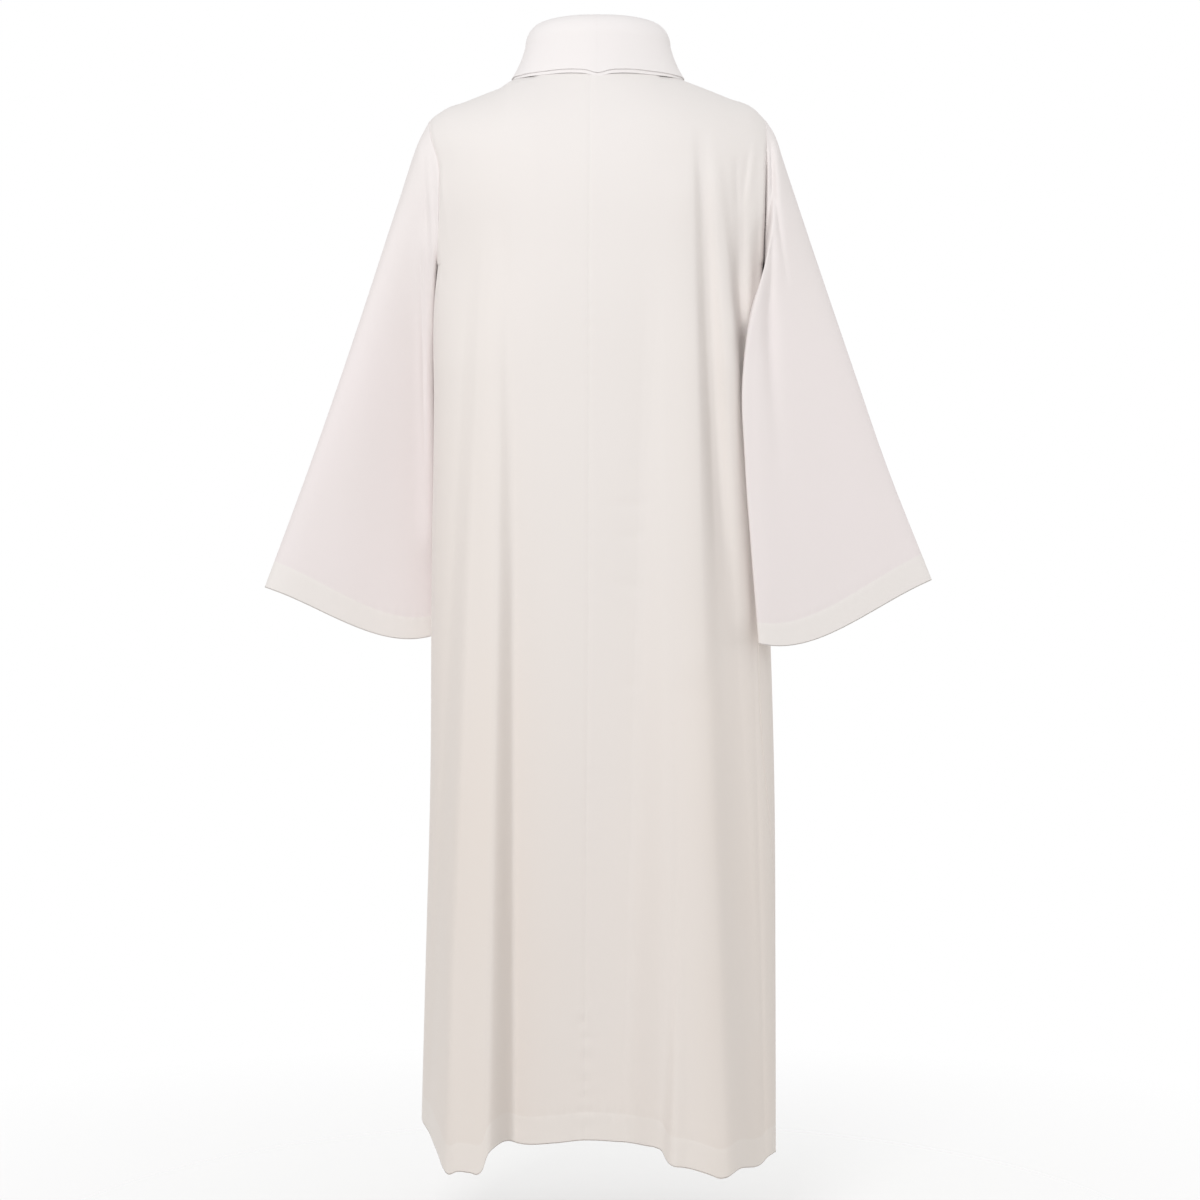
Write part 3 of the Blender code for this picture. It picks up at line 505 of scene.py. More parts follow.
def body_panel(side, behind, net, hem_depth):
    """The inner face of one back or front, as a grid of points from its top edge to its hem.

    A column's place round the half plan goes evenly from the centre seam to the side seam, with
    a few close columns beside each seam. Its heights go evenly from the neckline or shoulder to
    the underarm, to the top of the hem and to its edge.
    """
    side_name = "left" if side > 0 else "right"
    yoke_rows = round(net.down * YOKE_SHARE)
    seam_top = SECTIONS[0].seam_x if behind else 0.0
    first = np.arcsin(side * seam_top / SHOULDER_TIP) / (0.5 * np.pi)
    close = PLACE_PER_METRE * np.array(EDGE_STEPS)
    places = np.concatenate([
        [first], first + close,
        np.linspace(first + 2.0 * close[-1], 1.0 - 2.0 * close[-1], net.across),
        1.0 - close[::-1], [1.0]])
    shares = (places - places[0]) / (1.0 - places[0])

    top_x = SHOULDER_TIP * np.sin(0.5 * np.pi * places)
    turn = np.arcsin(np.clip(top_x / NECK_HALF_WIDTH, -1.0, 1.0))
    _, neck_reach, neck_height = neck_point(turn if behind else np.pi - turn)
    on_neck = top_x < NECK_HALF_WIDTH
    top_reach = np.where(on_neck, np.abs(neck_reach), 0.0)
    lower = LEFT_LOWER * (side > 0) * ease((top_x - LEFT_LOWER_FROM) / LEFT_LOWER_EASE)
    lower = lower * ease((SHOULDER_TIP - top_x) / LEFT_LOWER_EASE)
    top_height = np.where(
        on_neck, neck_height, smooth_read(SHOULDER_LINE, "height", top_x) - lower)

    yoke = 0.5 - 0.5 * np.cos(np.pi * np.linspace(0.0, 1.0, yoke_rows + 1))
    level = ARMHOLE_BOTTOM
    yoke_heights = top_height + (level - top_height) * yoke[:, None]
    width = smooth_read(SECTIONS, side_name, SECTIONS[-1].height)
    hem_x = side * width * np.sin(0.5 * np.pi * places)
    hem_height = smooth_read(BACK_HEM if behind else FRONT_HEM, "height", hem_x)
    hem_top = hem_height + hem_depth
    down = np.linspace(0.0, 1.0, net.down - yoke_rows + 1)[1:, None]
    last = np.linspace(0.0, 1.0, net.hem + 1)[1:, None]
    heights = np.concatenate([
        yoke_heights, level + (hem_top - level) * down, hem_top + (hem_height - hem_top) * last])

    bowl = np.clip(1.0 - (top_x / SOFT_NECK) ** 2, 0.0, 1.0) ** BOWL_POWER
    edge_reach = NECK_BACK_REACH if behind else NECK_FRONT_REACH
    edge_drop = 0.0 if behind else NECK_SIDE_HEIGHT - NECK_FRONT_HEIGHT
    soft_height = smooth_read(SOFT_SHOULDER, "height", np.abs(top_x)) - edge_drop * bowl
    soft_height = soft_height - lower
    left_edge = ease((top_height - heights) / SOFT_DROP)
    reach = top_reach + (edge_reach * bowl - top_reach) * left_edge
    crest = top_height + (soft_height - top_height) * left_edge

    seam_x = smooth_read(SECTIONS, "seam_x", heights) if behind else 0.0 * heights
    widths = smooth_read(SECTIONS, side_name, heights)
    gap = SEAM_GAP if behind else FRONT_GAP
    start = np.arcsin((side * seam_x + 0.5 * gap) / widths) / (0.5 * np.pi)
    drift = smooth_read(SEAM_DRIFT, side_name, heights)
    side_gap = SEAM_PLACE * (heights < ARMHOLE_BOTTOM)
    edge = 1.0 - drift - side_gap if behind else 1.0 - drift + side_gap
    start = start if behind else 2.0 - start
    grid = body_point(side, start + (edge - start) * shares, heights, reach, crest, behind)

    above = heights - hem_top
    facing = 1.0 if behind else -1.0
    beside = (1.0 - shares) / PLACE_PER_METRE
    dimple = SEAM_DIP * np.exp(-(above / HEM_DIP_WIDTH) ** 2)
    dimple = dimple + SEAM_DIP * np.exp(-(beside / SEAM_DIP_WIDTH) ** 2)
    grid[..., 1] += facing * (pucker(grid[..., 0], above, *HEM_PUCKER) - dimple)
    return grid


def sleeve_tube(side, net, hem_share):
    """The inner face of a sleeve: an armhole oval that flattens on its way to the cuff.

    A point lies between the upper and the lower edge by half of 1 - cos(around), and off the
    line between them by the thickness times sin(around).
    """
    stations = LEFT_SLEEVE if side > 0 else RIGHT_SLEEVE
    side_name = "left" if side > 0 else "right"
    run = np.concatenate([
        np.linspace(0.0, HEAD_FINE, HEAD_ROWS, endpoint=False),
        np.linspace(HEAD_FINE, 1.0 - hem_share, net.down + 1 - HEAD_ROWS),
        np.linspace(1.0 - hem_share, 1.0, net.hem + 1)[1:]])[:, None]
    around = np.linspace(0.0, 2.0 * np.pi, net.across, endpoint=False)[None, :]
    share = 0.5 - 0.5 * np.cos(around)

    def read(name):
        return smooth_read(stations, name, run)

    head_boxed = ARMHOLE_BOXED * ease(2.0 * share - 1.0)
    boxed = OUTER_BOXED + (INNER_BOXED - OUTER_BOXED) * share
    power = 1.0 - head_boxed - (boxed - head_boxed) * ease(run / HEAD_FINE)
    section = np.sign(np.sin(around)) * np.abs(np.sin(around)) ** power
    thick = read("half") * section * (1.0 - read("taper") * share)
    sag = read("sag") * SAG_PEAK * share ** 2 * (1.0 - share)
    start = side * ARMHOLE_GAP * (1.0 - run)
    x = read("top_x") + (read("low_x") - read("top_x")) * share + start
    y = read("top_y") + (read("low_y") - read("top_y")) * share + thick
    z = read("top_z") + (read("low_z") - read("top_z")) * share - sag
    armhole_x = side * smooth_read(SECTIONS, side_name, z[:1]) + start[0]
    x = x + (armhole_x - x[:1]) * (1.0 - ease(run / HEAD_BLEND))

    behind = np.clip(np.sin(around), 0.0, 1.0) ** 0.5
    before = np.clip(-np.sin(around), 0.0, 1.0) ** 0.5
    off = run * SLEEVE_LENGTH
    drawn = smooth_read(ARMHOLE_DRAWN, side_name, z[:1])
    drawn = drawn * np.where(np.sin(around) > 0.0, 1.0, -DRAWN_IN_FRONT)
    drawn = drawn * np.clip(np.abs(y[:1]) / DRAWN_DEPTH, 0.0, 1.0)
    drawn = drawn * ease((z[:1] - ARMHOLE_BOTTOM) / DRAWN_DEPTH)
    drawn = drawn * np.exp(-(off / DRAWN_WIDTH) ** 2)
    backs = LEFT_SLEEVE_BACK if side > 0 else RIGHT_SLEEVE_BACK
    fronts = LEFT_SLEEVE_FRONT if side > 0 else RIGHT_SLEEVE_FRONT
    creases = crease_height(backs, x, z) * behind - crease_height(fronts, x, z) * before
    y = y + ease(run / HEAD_PLAIN) * creases
    above = (1.0 - hem_share - run) * SLEEVE_LENGTH
    ripple = pucker(x, above, *CUFF_PUCKER) - SEAM_DIP * np.exp(-(above / HEM_DIP_WIDTH) ** 2)
    y = y - drawn + ripple * (behind - before)
    return np.stack([x, y, z], axis=-1)


def collar_profile(turn, part, onward=0.0, inward=0.0):
    """The hidden face of the collar at one turn: up the stand, over the roll, down the fall.

    part goes to 1 up the leaning stand, to 2 round two quarter ellipses of the roll, and to 3
    down the fall, a line bent in by a parabola. onward moves a point past the fall's edge, and
    inward moves it in at right angles to the fall.
    """
    degrees = np.degrees(np.abs(turn))
    neck_x, neck_y, neck_z = neck_point(turn)
    out_x, out_y = np.sin(turn), np.cos(turn)

    def read(name):
        return smooth_read(COLLAR_RINGS, name, degrees)

    lean, roll_down = read("lean"), read("roll_down")
    stand_top = read("stand") - roll_down
    notch = NOTCH_DROP * ease(1.0 - degrees / NOTCH_TURN)
    foot_part = np.clip(part, 0.0, 1.0)
    in_angle = 0.5 * np.pi * np.clip(2.0 * (part - 1.0), 0.0, 1.0)
    out_angle = 0.5 * np.pi * np.clip(2.0 * (part - 1.5), 0.0, 1.0)
    fall_part = np.clip(part - 2.0, 0.0, 1.0)
    out = -COLLAR_INSET - lean * foot_part
    up = -COLLAR_FOOT_DROP + (stand_top + COLLAR_FOOT_DROP) * foot_part
    out = out + read("roll_in") * (1.0 - np.cos(in_angle)) + read("roll_out") * np.sin(out_angle)
    up = up + roll_down * (np.sin(in_angle) - 1.0 + np.cos(out_angle))
    roll_end = read("roll_in") + read("roll_out") - lean - COLLAR_INSET
    fall_out = read("edge_out") - roll_end
    fall_up = read("edge_height") - neck_z - notch - stand_top
    length = np.hypot(fall_out, fall_up)
    reached = fall_part + onward / length
    swept = fall_part - FALL_SWEEP * fall_part * (1.0 - fall_part) + onward / length
    out = out + fall_out * swept + inward * fall_up / length
    up = up + fall_up * reached - inward * fall_out / length
    return np.stack([neck_x + out * out_x, neck_y + out * out_y, neck_z + up], axis=-1)


def collar_turns(side, part, columns):
    """Turns round the neck for a row of the collar, from the seam behind to its front end.

    They go evenly, and the front end stands back by an angle that grows down the fall.
    """
    first = (COLLAR_SEAM_X + 0.5 * side * COLLAR_GAP) / NECK_HALF_WIDTH
    fall = np.clip((part - 1.0) / 2.0, 0.0, 1.0)
    back_off = COLLAR_FRONT_STAND + (COLLAR_FRONT_SPREAD - COLLAR_FRONT_STAND) * fall
    last = side * (np.pi - np.radians(back_off))
    return first + (last - first) * np.linspace(0.0, 1.0, columns + 1)[None, :]


def collar_half(side, columns, rows):
    """The hidden face of one half of the collar: its profile at every turn, row by row."""
    parts = np.concatenate([
        np.linspace(0.0, 1.0, rows // 4 + 1)[:-1],
        1.5 - 0.5 * np.cos(np.pi * np.linspace(0.0, 1.0, rows // 2 + 1)),
        2.0 + np.linspace(0.0, 1.0, rows // 4 + 1)[1:],
    ])[:, None]
    return collar_profile(collar_turns(side, parts, columns), parts)


def under_collar_edge(side, columns, rows, wall):
    """The strip of under collar below the fall's edge, made from the fall's points moved in."""
    down = np.linspace(0.0, 1.0, rows + 1)[:, None]
    last = np.full_like(down, 3.0)
    turns = collar_turns(side, last, columns)
    shows = smooth_read(COLLAR_RINGS, "shows", np.degrees(np.abs(turns)))
    onward = (UNDER_HIDDEN + shows) * down - UNDER_HIDDEN
    return collar_profile(turns, last, onward, UNDER_GAP + wall)


# ---- Grids and meshes ----


def unit(vectors):
    """The vectors over their own lengths."""
    return vectors / np.maximum(np.linalg.norm(vectors, axis=-1, keepdims=True), 1e-9)


def grid_slopes(grid, closed):
    """Unit tangents down and across a grid of points, by central differences."""
    down = np.gradient(grid, axis=0)
    if closed:
        wide = np.concatenate([grid[:, -1:], grid, grid[:, :1]], axis=1)
        across = np.gradient(wide, axis=1)[:, 1:-1]
    else:
        across = np.gradient(grid, axis=1)
    return unit(down), unit(across)


def grid_normals(grid, closed, flip):
    """Unit normals of a grid, on the side that its wall is given to."""
    down, across = grid_slopes(grid, closed)
    return unit(np.cross(across, down) if flip else np.cross(down, across))


def turned_up(grid, hem_rows, closed, flip, step=3):
    """The grid with its last rows turned up inside.

    The edge goes round a half circle of the hem's radius, and the turned layer is the outer
    layer's own points moved in by the circle's width.
    """
    normal = grid_normals(grid, closed, flip)
    down, _ = grid_slopes(grid, closed)
    angle = np.linspace(0.0, np.pi, HEM_ARC_ROWS + 1)[1:, None, None]
    arc = grid[-1] + HEM_TURN * (np.sin(angle) * down[-1] - (1.0 - np.cos(angle)) * normal[-1])
    layer = (grid - 2.0 * HEM_TURN * normal)[-1 - hem_rows:-1:step][::-1]
    return np.concatenate([grid, arc, layer])


def flat_map(grid, closed):
    """Where each point lies on the uncut cloth: lengths along its row and down its column."""
    points = np.concatenate([grid, grid[:, :1]], axis=1) if closed else grid
    across = np.linalg.norm(np.diff(points, axis=1), axis=-1)
    down = np.linalg.norm(np.diff(points, axis=0), axis=-1)
    u = np.concatenate([np.zeros((len(points), 1)), np.cumsum(across, axis=1)], axis=1)
    v = np.concatenate([np.zeros((1, points.shape[1])), np.cumsum(down, axis=0)])
    return np.stack([u, v], axis=-1)


def added(name, data):
    """A new object of the scene's own collection."""
    made = bpy.data.objects.new(name, data)
    bpy.context.scene.collection.objects.link(made)
    return made


def smooth_mesh(name, points, faces, material):
    """A smooth mesh from lists of points and faces."""
    mesh = bpy.data.meshes.new(name)
    mesh.from_pydata(points, [], faces)
    mesh.shade_smooth()
    mesh.materials.append(material)
    return mesh


def cloth_object(name, grid, wall, material, closed=False, flip=False, doubled=None):
    """Loft a grid into a sheet with a map of the flat cloth, and give it its wall outwards.

    doubled says for each row how far the cloth lies double there, as in a hem. The sheet's free
    edges are kept sharp, so that a seam stays a seam.
    """
    rows, columns = grid.shape[:2]
    steps = columns if closed else columns - 1
    row, step = np.meshgrid(np.arange(rows - 1), np.arange(steps), indexing="ij")
    near = row * columns + step
    far = row * columns + (step + 1) % columns
    quads = np.stack([near, far, far + columns, near + columns], axis=-1).reshape(-1, 4)
    uv = flat_map(grid, closed)
    corners = np.stack([uv[:-1, :-1], uv[:-1, 1:], uv[1:, 1:], uv[1:, :-1]], axis=2)
    corners = corners.reshape(-1, 4, 2)
    if flip:
        quads, corners = quads[:, ::-1], corners[:, ::-1]
    mesh = smooth_mesh(name, grid.reshape(-1, 3).tolist(), quads.tolist(), material)
    layer = mesh.uv_layers.new(name="cloth")
    layer.data.foreach_set("uv", np.ascontiguousarray(corners, dtype=np.float32).ravel())
    ends = np.empty(2 * len(mesh.edges), dtype=np.int64)
    mesh.edges.foreach_get("vertices", ends)
    low, high = np.sort(ends.reshape(-1, 2), axis=1).T
    low_row, high_row = low // columns, high // columns
    edge_rows = (low_row == high_row) & ((low_row == 0) | (low_row == rows - 1))
    edge_columns = (low % columns == high % columns) & (low % columns % (columns - 1) == 0)
    sharp = edge_rows if closed else edge_rows | edge_columns
    mesh.attributes.new("sharp_edge", "BOOLEAN", "EDGE").data.foreach_set("value", sharp)
    hem = np.zeros(rows) if doubled is None else doubled
    mesh.attributes.new("doubled", "FLOAT", "POINT").data.foreach_set(
        "value", np.repeat(hem, columns).astype(np.float32))
    cloth = added(name, mesh)
    solid = cloth.modifiers.new("Wall", "SOLIDIFY")
    solid.thickness = wall
    solid.offset = 1.0
    solid.use_even_offset = True
    return cloth


def stitch_row(grid, row, wall, closed, flip):
    """Middle, direction and outward normal of each stitch along one row of a grid."""
    normal = grid_normals(grid, closed, flip)
    line = grid[row] + normal[row] * (wall + 0.35 * STITCH_RADIUS)
    out = normal[row]
    if closed:
        line, out = np.concatenate([line, line[:1]]), np.concatenate([out, out[:1]])
    place = np.concatenate([[0.0], np.cumsum(np.linalg.norm(np.diff(line, axis=0), axis=1))])
    count = int(place[-1] / STITCH_PITCH)
    at = (np.arange(count) + 0.5) * place[-1] / count

    def read(values, where):
        return np.stack([np.interp(where, place, values[:, axis]) for axis in range(3)], axis=-1)

    along = read(line, at + 0.3 * STITCH_PITCH) - read(line, at - 0.3 * STITCH_PITCH)
    return read(line, at), unit(along), read(out, at)


def stitches_object(name, stitches, material):
    """Stitches as short threads whose two ends dive into the cloth.

    Each is four rings of five points, whose places along it, radii and heights are shares of the
    stitch's length and of the thread's radius.
    """
    middle, along, out = stitches
    side = np.cross(along, out)
    reach = np.array([-0.5, -0.3, 0.3, 0.5]) * STITCH_LENGTH
    thick = np.array([0.35, 1.0, 1.0, 0.35]) * STITCH_RADIUS
    lift = np.array([-1.3, 0.0, 0.0, -1.3]) * STITCH_RADIUS
    angle = np.linspace(0.0, 2.0 * np.pi, 5, endpoint=False)
    spine = middle[:, None] + along[:, None] * reach[:, None] + out[:, None] * lift[:, None]
    ring = side[:, None] * np.cos(angle)[:, None] + out[:, None] * np.sin(angle)[:, None]
    points = spine[:, :, None] + ring[:, None] * thick[:, None, None]
    step = np.arange(5)
    walls = [np.stack([5 * k + step, 5 * k + (step + 1) % 5, 5 * k + 5 + (step + 1) % 5,
                       5 * k + 5 + step], axis=-1) for k in range(3)]
    walls = np.concatenate(walls)
    caps = np.stack([step[::-1], 15 + step])
    start = 20 * np.arange(len(middle))[:, None, None]
    faces = (walls + start).reshape(-1, 4).tolist() + (caps + start).reshape(-1, 5).tolist()
    threads = added(name, smooth_mesh(name, points.reshape(-1, 3).tolist(), faces, material))
    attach(threads, "root")
    return threads


# ---- Materials ----


class Socket:
    """A number on its way through a shader; arithmetic on it adds Math nodes."""

    def __init__(self, shader, link):
        self.shader, self.link = shader, link

    def _math(self, operation, first, second=0.0, clamp=False):
        return self.shader.node("ShaderNodeMath", {"operation": operation, "use_clamp": clamp},
                                {0: first, 1: second})["Value"]

    def __add__(self, other):
        return self._math("ADD", self, other)

    def __radd__(self, other):
        return self._math("ADD", other, self)

    def __sub__(self, other):
        return self._math("SUBTRACT", self, other)

    def __rsub__(self, other):
        return self._math("SUBTRACT", other, self)

    def __mul__(self, other):
        return self._math("MULTIPLY", self, other)

    def __rmul__(self, other):
        return self._math("MULTIPLY", other, self)

    def __pow__(self, other):
        return self._math("POWER", self, other)

    def sine(self):
        return self._math("SINE", self)

    def clamped(self):
        return self._math("ADD", self, 0.0, clamp=True)


class Shader:
    """The node tree of a material or of the world, built node by node."""

    def __init__(self, holder):
        holder.use_nodes = True
        self.holder = holder
        self.tree = holder.node_tree
        self.tree.nodes.clear()

    def node(self, kind, settings=None, inputs=None):
        """Add a node: its settings first, then the values or links of its sockets."""
        made = self.tree.nodes.new(kind)
        for key, value in (settings or {}).items():
            setattr(made, key, value)
        for key, value in (inputs or {}).items():
            socket = made.inputs[key]
            if isinstance(value, Socket):
                self.tree.links.new(value.link, socket)
            else:
                socket.default_value = value
        sockets = {output.name: Socket(self, output) for output in made.outputs}
        sockets.update((place, Socket(self, output)) for place, output in enumerate(made.outputs))
        return sockets

    def noise(self, vector, scale, detail, roughness=0.5):
        """The value of a noise."""
        return self.node("ShaderNodeTexNoise", inputs={
            "Vector": vector, "Scale": scale, "Detail": detail, "Roughness": roughness})["Fac"]

    def finished(self, inputs):
        """The material, whose surface is one Principled shader."""
        surface = self.node("ShaderNodeBsdfPrincipled", inputs=inputs)
        self.node("ShaderNodeOutputMaterial", inputs={"Surface": surface["BSDF"]})
        return self.holder

    def mixed(self, factor, first, second):
        """A colour between two, by a factor."""
        ends = {0: factor, 6: first, 7: second}
        return self.node("ShaderNodeMix", {"data_type": "RGBA"}, ends)[2]


SLUB_SCALE = (900.0, 60.0, 1.0)         # threads across and along, for each metre
SLUB_SHADE = (0.90, 0.89, 0.87)
SLUB_COVER = 0.10
CLOUD_SCALE = 3.2
CLOUD_SHADE = (0.960, 0.950, 0.935)
CLOUD_GAIN = 0.9
CLOUD_LEAST = 0.28           # level of the noise below which there is no cloud
RIPPLE_SCALE = 24.0
WEAVE_HEIGHT = 0.00012       # height of one unit of bump
WEAVE_BUMP, SLUB_BUMP, RIPPLE_BUMP = 0.5, 0.8, 3.0
CLOTH_ROUGHNESS = 0.60
TWIST_SCALE = 900.0
THREAD_ROUGHNESS = 0.45
FLOOR_COVER = 0.6
FLOOR_FADE = 1.2


def shaded(tint, red, green, blue):
    """A tint with each part scaled, as a colour socket takes it."""
    return (tint[0] * red, tint[1] * green, tint[2] * blue, 1.0)


def cloth_material(name, tint, settings, band, shade):
    """Smooth plain-woven cloth: a fine weave, soft slubs, faint clouds of tone and a low sheen.

    The tint goes over to its shade on the way down, a little more so at the sides: on the body
    this is painted shade, darker and warmer lower down and at the lower sides; on the sleeves it
    is a pinker tone lower down. Where the cloth lies double it looks denser by the band's share.
    """
    shader = Shader(bpy.data.materials.new(name))
    uv = shader.node("ShaderNodeUVMap", {"uv_map": "cloth"})["UV"]
    place = shader.node("ShaderNodeTexCoord")["Object"]
    across = shader.node("ShaderNodeSeparateXYZ", inputs={0: place})
    doubled = shader.node("ShaderNodeAttribute", {"attribute_name": "doubled"})["Fac"]
    parts = shader.node("ShaderNodeSeparateXYZ", inputs={0: uv})
    turns = 2.0 * np.pi / settings.weave_pitch
    weave = (parts["X"] * turns).sine() * (parts["Y"] * turns).sine()
    stretched = shader.node("ShaderNodeMapping", inputs={"Vector": uv, "Scale": SLUB_SCALE})
    slub = shader.noise(stretched["Vector"], 1.0, 2.0)
    cloud = shader.noise(place, CLOUD_SCALE, 3.0, 0.55)
    ripple = shader.noise(place, RIPPLE_SCALE, 2.0)
    # painted shade on the body: low grows towards the bottom and mixes the tint into darker,
    # warmer colours, standing in for less light lower down; on the sleeves it brings a pinker tone
    # instead
    low = (across["Z"] * (-1.0 / shade.depth)).clamped()
    # painted shade at the sides: the lower sides of the body are darkened further, standing in for
    # the flanks turning away from the light
    painted_side_shade = (across["X"] * across["X"] * (1.0 / SIDE_PAINTED_SHADE_FROM ** 2)).clamped()
    under = shaded(tint, *shade.low)
    cloth = shader.mixed(low, (*tint, 1.0), under)
    cloth = shader.mixed(low * painted_side_shade, cloth, shaded(under, *shade.side))
    clouded = (cloud * CLOUD_GAIN - CLOUD_LEAST).clamped()
    cloth = shader.mixed(clouded, cloth, shaded(tint, *CLOUD_SHADE))
    cloth = shader.mixed((slub * SLUB_COVER).clamped(), cloth, shaded(tint, *SLUB_SHADE))
    dense = shaded(tint, *settings.dense_shade)
    cloth = shader.mixed(doubled * band, cloth, dense)
    bump = shader.node("ShaderNodeBump", inputs={
        "Strength": settings.weave_strength, "Distance": WEAVE_HEIGHT,
        "Height": weave * WEAVE_BUMP + slub * SLUB_BUMP + ripple * RIPPLE_BUMP})["Normal"]
    return shader.finished({
        "Base Color": cloth, "Roughness": CLOTH_ROUGHNESS + cloud * 0.10 + weave * 0.03,
        "Normal": bump, "Sheen Weight": 0.20, "Sheen Roughness": 0.45,
        "Specular IOR Level": 0.30})


def thread_material(name, tint):
    """Twisted sewing thread, a little brighter and glossier than the cloth."""
    shader = Shader(bpy.data.materials.new(name))
    place = shader.node("ShaderNodeTexCoord")["Object"]
    twist = shader.noise(place, TWIST_SCALE, 1.0)
    return shader.finished({
        "Base Color": shader.mixed(twist, (*tint, 1.0), shaded(tint, 0.9, 0.9, 0.9)),
        "Roughness": THREAD_ROUGHNESS + twist * 0.1, "Sheen Weight": 0.1})


def floor_material(name, tint, radius):
    """The studio floor's plain pale paint, which thins out to nothing at its rim."""
    shader = Shader(bpy.data.materials.new(name))
    place = shader.node("ShaderNodeTexCoord")["Object"]
    away = shader.node("ShaderNodeVectorMath", {"operation": "LENGTH"}, {
        0: shader.node("ShaderNodeVectorMath", {"operation": "MULTIPLY"}, {
            0: place, 1: (1.0 / radius, 1.0 / radius, 0.0)})["Vector"]})["Value"]
    solid = (1.0 - away).clamped() ** FLOOR_FADE * FLOOR_COVER
    return shader.finished({
        "Base Color": (*tint, 1.0), "Roughness": 0.8, "Specular IOR Level": 0.1, "Alpha": solid})


# ---- Settings ----


# How a tint changes down to a depth, and there at the sides. On the body this is painted shade,
# darker and warmer towards the bottom and more so at the lower sides; on the sleeves a pinker tone
# lower down.
Shade = namedtuple("Shade", "depth low side")
BODY_PAINTED_SHADE = Shade(1.45, (0.974, 0.936, 0.895), (0.972, 0.958, 0.940))
SLEEVE_SHADE = Shade(0.60, (1.010, 0.972, 0.984), (1.0, 1.0, 1.0))
COLLAR_SHADE = Shade(1.00, (1.0, 1.0, 1.0), (1.0, 1.0, 1.0))
SIDE_PAINTED_SHADE_FROM = 0.150      # distance from the middle at which the painted shade at the sides is full
BODY_DENSE = 0.25            # how far cloth looks denser where it lies double
SLEEVE_DENSE = 0.8


class AlbClothSettings(bpy.types.PropertyGroup):
    """Sizes and colours of the cloth"""

    wall: bpy.props.FloatProperty(
        name="Cloth thickness", description="Thickness of one layer of cloth", default=0.0010,
        min=0.0003, max=0.003, precision=4, unit="LENGTH")
    body_hem: bpy.props.FloatProperty(
        name="Body hem", description="Depth of the hem turned up round the bottom", default=0.038,
        min=0.01, max=0.08, unit="LENGTH")
    cuff_hem: bpy.props.FloatProperty(
        name="Cuff hem", description="Depth of the hem turned up at each cuff", default=0.035,
        min=0.01, max=0.08, unit="LENGTH")
    weave_pitch: bpy.props.FloatProperty(
        name="Weave pitch", description="Distance between two threads", default=0.0007,
        min=0.0002, max=0.003, precision=5, unit="LENGTH")
    weave_strength: bpy.props.FloatProperty(
        name="Weave strength", description="How strongly the weave shows", default=0.35,
        min=0.0, max=1.0, subtype="FACTOR")
    body_tint: bpy.props.FloatVectorProperty(
        name="Body colour", description="Colour of the fronts and backs", size=3,
        default=(0.840, 0.813, 0.800), min=0.0, max=1.0, subtype="COLOR")
    sleeve_tint: bpy.props.FloatVectorProperty(
        name="Sleeve colour", description="Colour of the sleeves", size=3,
        default=(0.850, 0.822, 0.815), min=0.0, max=1.0, subtype="COLOR")
    collar_tint: bpy.props.FloatVectorProperty(
        name="Collar colour", description="Colour of the collar", size=3,
        default=(0.870, 0.845, 0.845), min=0.0, max=1.0, subtype="COLOR")
    dense_shade: bpy.props.FloatVectorProperty(
        name="Double cloth", description="Share of each colour where the cloth lies double",
        size=3, default=(1.0, 1.0, 0.975), min=0.0, max=1.2)
    thread_tint: bpy.props.FloatVectorProperty(
        name="Thread colour", description="Colour of the sewing thread", size=3,
        default=(0.80, 0.77, 0.74), min=0.0, max=1.0, subtype="COLOR")


class AlbStageSettings(bpy.types.PropertyGroup):
    """Camera and light of the studio"""

    camera_distance: bpy.props.FloatProperty(
        name="Camera distance", description="How far behind the robe the camera stands",
        default=3.6, unit="LENGTH")
    camera_height: bpy.props.FloatProperty(
        name="Camera height", description="Height of the camera", default=-0.725, unit="LENGTH")
    camera_side: bpy.props.FloatProperty(
        name="Camera side", description="Camera's place across the robe", default=-0.0028,
        unit="LENGTH")
    camera_field: bpy.props.FloatProperty(
        name="Field width", description="Width of the view at the robe", default=1.68,
        unit="LENGTH")
    floor_height: bpy.props.FloatProperty(
        name="Floor height", description="Height of the studio floor", default=-1.62,
        unit="LENGTH")
    floor_radius: bpy.props.FloatProperty(
        name="Floor radius", description="Radius at which the floor has thinned out", default=1.6,
        unit="LENGTH")
    light_level: bpy.props.FloatProperty(
        name="Light level", description="Scales every lamp", default=1.0, min=0.0)
    ambient: bpy.props.FloatProperty(
        name="Ambient light", description="Strength of the light from all round", default=0.57,
        min=0.0)
    backing: bpy.props.FloatProperty(
        name="Light from beyond", description="Extra light from beyond the robe", default=0.5,
        min=0.0)


FLOOR_TINT = (0.95, 0.95, 0.95)
WHITE = (1.0, 1.0, 1.0, 1.0)
WARM = (1.0, 0.955, 0.915, 1.0)         # light that comes up from below
ROBE_MIDDLE = (0.0, 0.0, -0.7)
Lamp = namedtuple("Lamp", "name x y z size power red green blue")
LAMPS = (
    Lamp("key", 0.80, 3.40, 1.10, 1.2, 69.0, 1.0, 0.995, 1.0),
    Lamp("left_rim", 2.70, 0.00, -0.40, 1.8, 6.0, 1.0, 1.0, 1.0),
    Lamp("right_rim", -2.60, -0.20, -0.20, 1.8, 13.0, 1.0, 0.985, 0.97),
)


# ---- Pieces ----

SIDES = ((1, "left"), (-1, "right"))

